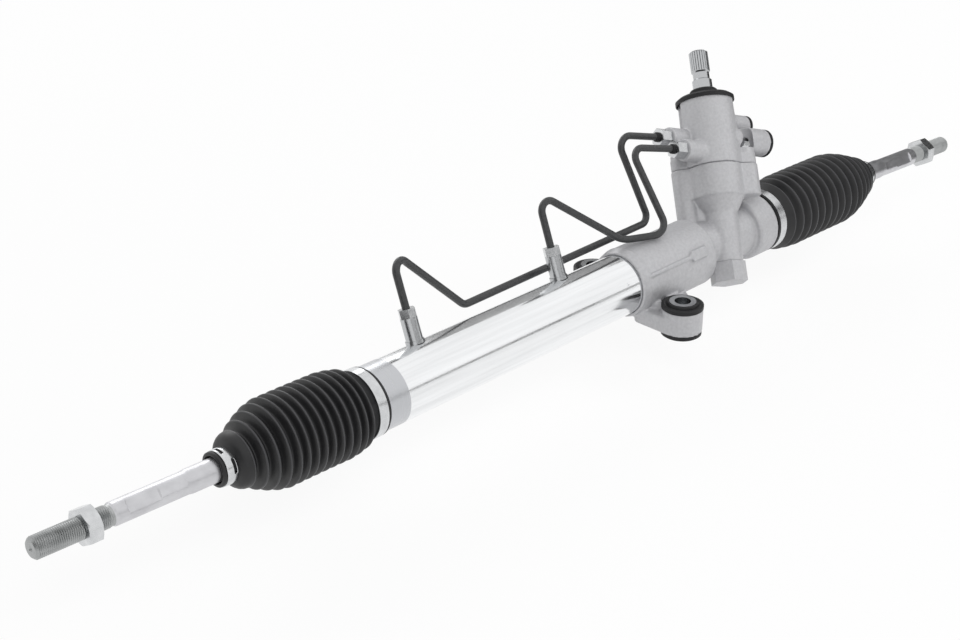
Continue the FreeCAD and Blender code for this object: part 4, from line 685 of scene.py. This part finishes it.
# Clips: a spring band with slots round each small cuff
CLIP_RADIUS = 12.3 * MM
CLIP_WIDTH = 8.6 * MM
CLIP_THICKNESS = 0.9 * MM
CLIP_CROWN = 0.25 * MM
CLIP_SET_IN = 0.6 * MM
CLIP_COLUMNS = 120
CLIP_STRIPS = 9
# Slots: from and to in degrees, and the first of the two strips that they open
CLIP_SLOTS = ((-22, 18, 5), (44, 104, 1), (158, 198, 5), (224, 284, 1))


def in_slot(strip, column):
    """Whether a face of the clip falls in one of its slots."""
    degrees = 360 * (column + 0.5) / CLIP_COLUMNS
    turned = (degrees + 90) % 360 - 90
    return any(low < turned < high and strip in (row, row + 1) for low, high, row in CLIP_SLOTS)


def make_clip(side):
    ball, along = rod_line(side)
    start = ball + along * (CUFF_START + CLIP_SET_IN)
    up = square_to(along)
    across = up.cross(along).normalized()
    verts, faces = [], []
    for strip in range(CLIP_STRIPS + 1):
        reach = CLIP_RADIUS + CLIP_CROWN * math.sin(math.pi * strip / CLIP_STRIPS)
        spot = start + along * (CLIP_WIDTH * strip / CLIP_STRIPS)
        for angle in turns(CLIP_COLUMNS):
            verts.append(tuple(spot + (across * math.sin(angle) + up * math.cos(angle)) * reach))
    for strip in range(CLIP_STRIPS):
        band = join_rings(strip * CLIP_COLUMNS, (strip + 1) * CLIP_COLUMNS, CLIP_COLUMNS)
        faces += [face for column, face in enumerate(band) if not in_slot(strip, column)]
    mesh = bpy.data.meshes.new(side + "_cuff_clip")
    mesh.from_pydata(verts, [], faces)
    smooth(mesh)
    orient_outward(mesh)
    clip = add_piece(side + "_cuff_clip", mesh, "zinc_plate", side + "_rod")
    thick = clip.modifiers.new("thick", "SOLIDIFY")
    thick.thickness = CLIP_THICKNESS
    thick.offset = 1.0
    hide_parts(side + "_boot_clip")


# Inner tie rods: ball, neck, forged body with two pairs of flats, and a rolled thread
ROD_SEGMENTS = 64
ROD_SHARP_ANGLE = math.radians(32)
BALL_RADIUS = 12.5 * MM
BALL_CUT = 1.1 * MM
BALL_RINGS = 14
NECK_RADIUS = 6.0 * MM
NECK_END = 22 * MM
BODY_START = 44 * MM
ROD_RADIUS = 8.9 * MM
ROD_WAIST = 8.35 * MM
WAIST_STATION = 80.0 * MM
# Rings between the ball and the waist, and rings for each change of shape after it
PLAIN_STATIONS = [distance * MM for distance in (16, 21, 22, 30, 38, 43, 44, 50, 60, 70)]
RAMP_RINGS = 4
# Half the size across each pair of flats, and the first pair's start
SHALLOW_FLAT = 7.6 * MM
DEEP_FLAT = 6.8 * MM
SHALLOW_START = 82.0 * MM
# Keeps the reach to a flat from running away where the flat is seen edge on
FLAT_LEAST_COSINE = 0.3
ROD_SIZES = {
    "left": {"length": 196.2 * MM, "thread": 140.0 * MM, "flats": (103.0 * MM, 129.0 * MM), "facing": 53},
    "right": {"length": 195.6 * MM, "thread": 137.0 * MM, "flats": (101.0 * MM, 126.0 * MM), "facing": 62},
}
THREAD_RADIUS = 8.0 * MM
THREAD_PITCH = 1.5 * MM
THREAD_DEPTH = 0.85 * MM
THREAD_RINGS = 6
THREAD_LEAD = 0.4 * MM
THREAD_CHAMFER = 1.8 * MM
# How far before the thread the darker steel begins
THREAD_LOOK_LEAD = 1.0 * MM
# The centre hole in the end face: (radius, depth)
CENTRE_HOLE = ((2.2 * MM, 0.0), (0.6 * MM, 1.6 * MM))


def ramp(value, low, high):
    return min(1.0, max(0.0, (value - low) / (high - low)))


def rod_ramps(sizes):
    """Where the body runs into its waist, its two pairs of flats, round again, and the thread."""
    deep_start, deep_end = sizes["flats"]
    return {
        "waist": (WAIST_STATION - 3 * MM, WAIST_STATION),
        "shallow": (SHALLOW_START, SHALLOW_START + 1.4 * MM),
        "deep": (deep_start - 0.2 * MM, deep_start + 0.9 * MM),
        "round": (deep_end - 1.0 * MM, deep_end),
        "thread": (sizes["thread"] - 3 * MM, sizes["thread"] - 1.2 * MM),
    }


def ball_meets_neck():
    """How far from its centre the ball runs into the neck."""
    return math.sqrt(BALL_RADIUS ** 2 - NECK_RADIUS ** 2)


def rod_stations(sizes, ramps):
    """Distances from the ball's centre for the rings: close where the shape turns."""
    back, meet = -BALL_RADIUS + BALL_CUT, ball_meets_neck()
    stations = [back + (meet - back) * i / BALL_RINGS for i in range(BALL_RINGS + 1)]
    stations += PLAIN_STATIONS
    after_flats = sizes["flats"][1] + 1.5 * MM
    edges = [*ramps["waist"], *ramps["shallow"], *ramps["deep"], *ramps["round"], after_flats,
             *ramps["thread"]]
    for low, high in zip(edges, edges[1:]):
        stations += [low + (high - low) * i / RAMP_RINGS for i in range(RAMP_RINGS)]
    threaded = sizes["length"] - sizes["thread"]
    count = int(threaded / THREAD_PITCH * THREAD_RINGS)
    return stations + [sizes["thread"] + threaded * i / count for i in range(count + 1)]


def body_radius(station, angle, sizes, ramps):
    """The radius of the forged body, with its waist and flats."""
    body = ROD_RADIUS - (ROD_RADIUS - ROD_WAIST) * ramp(station, *ramps["waist"])
    body -= (ROD_WAIST - THREAD_RADIUS + THREAD_DEPTH) * ramp(station, *ramps["thread"])
    if not SHALLOW_START <= station <= sizes["flats"][1]:
        return body
    half = ROD_WAIST + (SHALLOW_FLAT - ROD_WAIST) * ramp(station, *ramps["shallow"])
    half += (DEEP_FLAT - SHALLOW_FLAT) * ramp(station, *ramps["deep"])
    half += (ROD_WAIST - DEEP_FLAT) * ramp(station, *ramps["round"])
    return min(body, half / max(abs(math.cos(angle)), FLAT_LEAST_COSINE))


def thread_radius(station, angle, sizes):
    """The radius of the thread, which runs in at its start and is chamfered at its end."""
    start, end = sizes["thread"], sizes["length"]
    turn = (station - start) / THREAD_PITCH - angle / (2 * math.pi)
    groove = THREAD_DEPTH * abs(2 * (turn - math.floor(turn)) - 1)
    run_in = ramp(station, start - THREAD_LEAD, start + THREAD_PITCH)
    chamfer = (1 - ramp(station, end - THREAD_CHAMFER, end)) * THREAD_CHAMFER
    return min(THREAD_RADIUS - groove * run_in - THREAD_DEPTH * (1 - run_in),
               THREAD_RADIUS - THREAD_CHAMFER + chamfer)


def rod_radius(station, angle, sizes, ramps):
    """The rod's radius at a station and at an angle from the middle of its flats."""
    if station <= ball_meets_neck():
        return math.sqrt(max(BALL_RADIUS ** 2 - station ** 2, 0.0))
    if station < BODY_START:
        return NECK_RADIUS + (ROD_RADIUS - NECK_RADIUS) * ramp(station, NECK_END, BODY_START)
    if station < sizes["thread"] - THREAD_LEAD:
        return body_radius(station, angle, sizes, ramps)
    return thread_radius(station, angle, sizes)


def make_rod(side):
    sizes = ROD_SIZES[side]
    ramps = rod_ramps(sizes)
    ball, along = rod_line(side)
    up = square_to(along)
    if up.z < 0:
        up = -up
    facing = math.radians(sizes["facing"])
    middle = up * math.cos(facing) - Vector((0, 1, 0)) * math.sin(facing)
    side_way = along.cross(middle).normalized()
    angles = turns(ROD_SEGMENTS)
    rings = [(station, [rod_radius(station, angle, sizes, ramps) for angle in angles])
             for station in rod_stations(sizes, ramps)]
    rings += [(sizes["length"] - depth, [radius] * ROD_SEGMENTS) for radius, depth in CENTRE_HOLE]
    verts, faces = [], []
    for station, reaches in rings:
        for angle, reach in zip(angles, reaches):
            turn = middle * math.cos(angle) + side_way * math.sin(angle)
            verts.append(tuple(ball + along * station + turn * reach))
    for k in range(len(rings) - 1):
        faces += join_rings(k * ROD_SEGMENTS, (k + 1) * ROD_SEGMENTS, ROD_SEGMENTS)
    # The flat back of the ball and the floor of the centre hole
    faces.append(tuple(range(ROD_SEGMENTS)))
    faces.append(tuple(range(len(verts) - ROD_SEGMENTS, len(verts))))
    mesh = bpy.data.meshes.new(side + "_rod_forging")
    mesh.from_pydata(verts, [], faces)
    smooth(mesh)
    orient_outward(mesh)
    rod = add_piece(side + "_rod_forging", mesh, "rod_zinc", side + "_rod")
    mesh.materials.append(MATERIALS["thread_steel"])
    for polygon in mesh.polygons:
        distance = (Vector(polygon.center) - ball).dot(along)
        polygon.material_index = int(distance > sizes["thread"] - THREAD_LOOK_LEAD)
    mesh.set_sharp_from_angle(angle=ROD_SHARP_ANGLE)
    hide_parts(side + "_tie_rod")


# Fasteners and small hard parts keep their solids, with edges broken by so many millimetres
EDGE_BREAKS = {
    "left_jam_nut": 0.5, "right_jam_nut": 0.5, "cylinder_pipe_nuts": 0.8, "valve_pipe_nuts": 0.9,
    "valve_housing_bolts": 0.6, "pinion_bottom_cap": 0.9, "rack_guide_lock_nut": 0.8,
    "cylinder_port_bosses": 0.5, "cylinder_end_cap": 0.4, "front_bush_sleeve": 0.3, "rear_bush_sleeve": 0.3,
    "front_bush_rubber": 0.5, "rear_bush_rubber": 0.5, "dust_cover": 0.7,
    "pressure_port_plug": 0.4, "return_port_plug": 0.4, "left_boot_band": 0.3, "right_boot_band": 0.3,
}
EDGE_BREAK_SEGMENTS = 3
EDGE_BREAK_ANGLE = math.radians(35)


def break_edges():
    for name, width in EDGE_BREAKS.items():
        bevel = frame["nodes"][name].modifiers.new("broken_edges", "BEVEL")
        bevel.width = width * MM
        bevel.segments = EDGE_BREAK_SEGMENTS
        bevel.limit_method = "ANGLE"
        bevel.angle_limit = EDGE_BREAK_ANGLE


# Black collars where the pipes enter their nuts at the valve; the ports are in the tower's frame, in mm
LINE_PORTS = {"upper": (-44.5, 7.0, 87.5), "lower": (-41.0, -6.0, 73.5)}
LINE_NUT_HEIGHT = 11.5 * MM
COLLAR_OVERLAP = 0.4 * MM
COLLAR_SEGMENTS = 40
# The collar's section: (distance along the pipe from the nut, radius), in mm
COLLAR_OUTLINE = ((0.0, 2.9), (0.0, 4.0), (-0.3, 4.3), (-2.4, 4.2), (-3.1, 3.8), (-3.4, 3.3), (-3.4, 2.9))


def make_pipe_collars():
    for name, (reach, back, height) in LINE_PORTS.items():
        start = Vector((reach * MM - LINE_NUT_HEIGHT + COLLAR_OVERLAP, back * MM, height * MM))
        rings = [(start + Vector((x * MM, 0, 0)), radius * MM) for x, radius in COLLAR_OUTLINE]
        mesh = revolve_rings(name + "_pipe_collar", rings, COLLAR_SEGMENTS)
        mesh.transform(TOWER)
        orient_outward(mesh)
        add_piece(name + "_pipe_collar", mesh, "black_rubber", "housing")


# Castings: the machined model, remeshed and smoothed to soften it the way a die casting is
HOUSING_VOXEL = 0.9 * MM
VALVE_VOXEL = 0.8 * MM
SOFTEN_FACTOR = 0.5
SOFTEN_PASSES = 6
# The wall between the column and the rear bolt's column, in the tower's frame and in mm: the way to
# the bolt, where the wall starts and ends that way, half its thickness, and its foot and top
WEB_WAY = (-22.5, 17.0, 0)
WEB_NEAR, WEB_FAR = 14.6, 24.0
WEB_HALF = 5.5
WEB_FOOT, WEB_TOP = -2.0, 38.0


def make_tower_web():
    """The wall of metal that fills the narrow gap between the column and the rear bolt's column."""
    toward = Vector(WEB_WAY).normalized()
    aside = Vector((-toward.y, toward.x, 0))
    outline = [toward * WEB_NEAR + aside * WEB_HALF, toward * WEB_FAR + aside * WEB_HALF,
               toward * WEB_FAR - aside * WEB_HALF, toward * WEB_NEAR - aside * WEB_HALF]
    verts = [(spot + Vector((0, 0, z))) * MM for z in (WEB_FOOT, WEB_TOP) for spot in outline]
    faces = [(0, 1, 2, 3), (4, 5, 6, 7), *join_rings(0, 4, 4)]
    mesh = bpy.data.meshes.new("tower_web")
    mesh.from_pydata([tuple(TOWER @ spot) for spot in verts], [], faces)
    orient_outward(mesh)
    return mesh


def soften_casting(node, voxel, added=None):
    """Replaces a casting with a softened one, which takes in another mesh if one is added."""
    name = node + "_casting"
    shape = bmesh.new()
    shape.from_mesh(frame["nodes"][node].data)
    if added:
        shape.from_mesh(added)
    mesh = bpy.data.meshes.new(name)
    shape.to_mesh(mesh)
    shape.free()
    piece = bpy.data.objects.new(name, mesh)
    bpy.context.scene.collection.objects.link(piece)
    remesh = piece.modifiers.new("remesh", "REMESH")
    remesh.mode = "VOXEL"
    remesh.voxel_size = voxel
    soften = piece.modifiers.new("soften", "SMOOTH")
    soften.factor = SOFTEN_FACTOR
    soften.iterations = SOFTEN_PASSES
    graph = bpy.context.evaluated_depsgraph_get()
    result = bpy.data.meshes.new_from_object(piece.evaluated_get(graph))
    piece.modifiers.clear()
    piece.data = result
    smooth(result)
    result.materials.clear()
    result.materials.append(MATERIALS["cast_aluminium"])
    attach(piece, "housing")
    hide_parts(node)


make_camera()
make_world()
make_floor()
dress_nodes()
for light in LIGHTS:
    make_area_light(*light)
for flag in FLAGS:
    make_flag(*flag)
for side, outward in SIDES:
    make_boot(side, outward)
    make_clip(side)
    make_rod(side)
make_pipe_collars()
break_edges()
soften_casting("rack_housing", HOUSING_VOXEL, make_tower_web())
soften_casting("valve_housing", VALVE_VOXEL)

bpy.context.scene.view_settings.view_transform = "Standard"
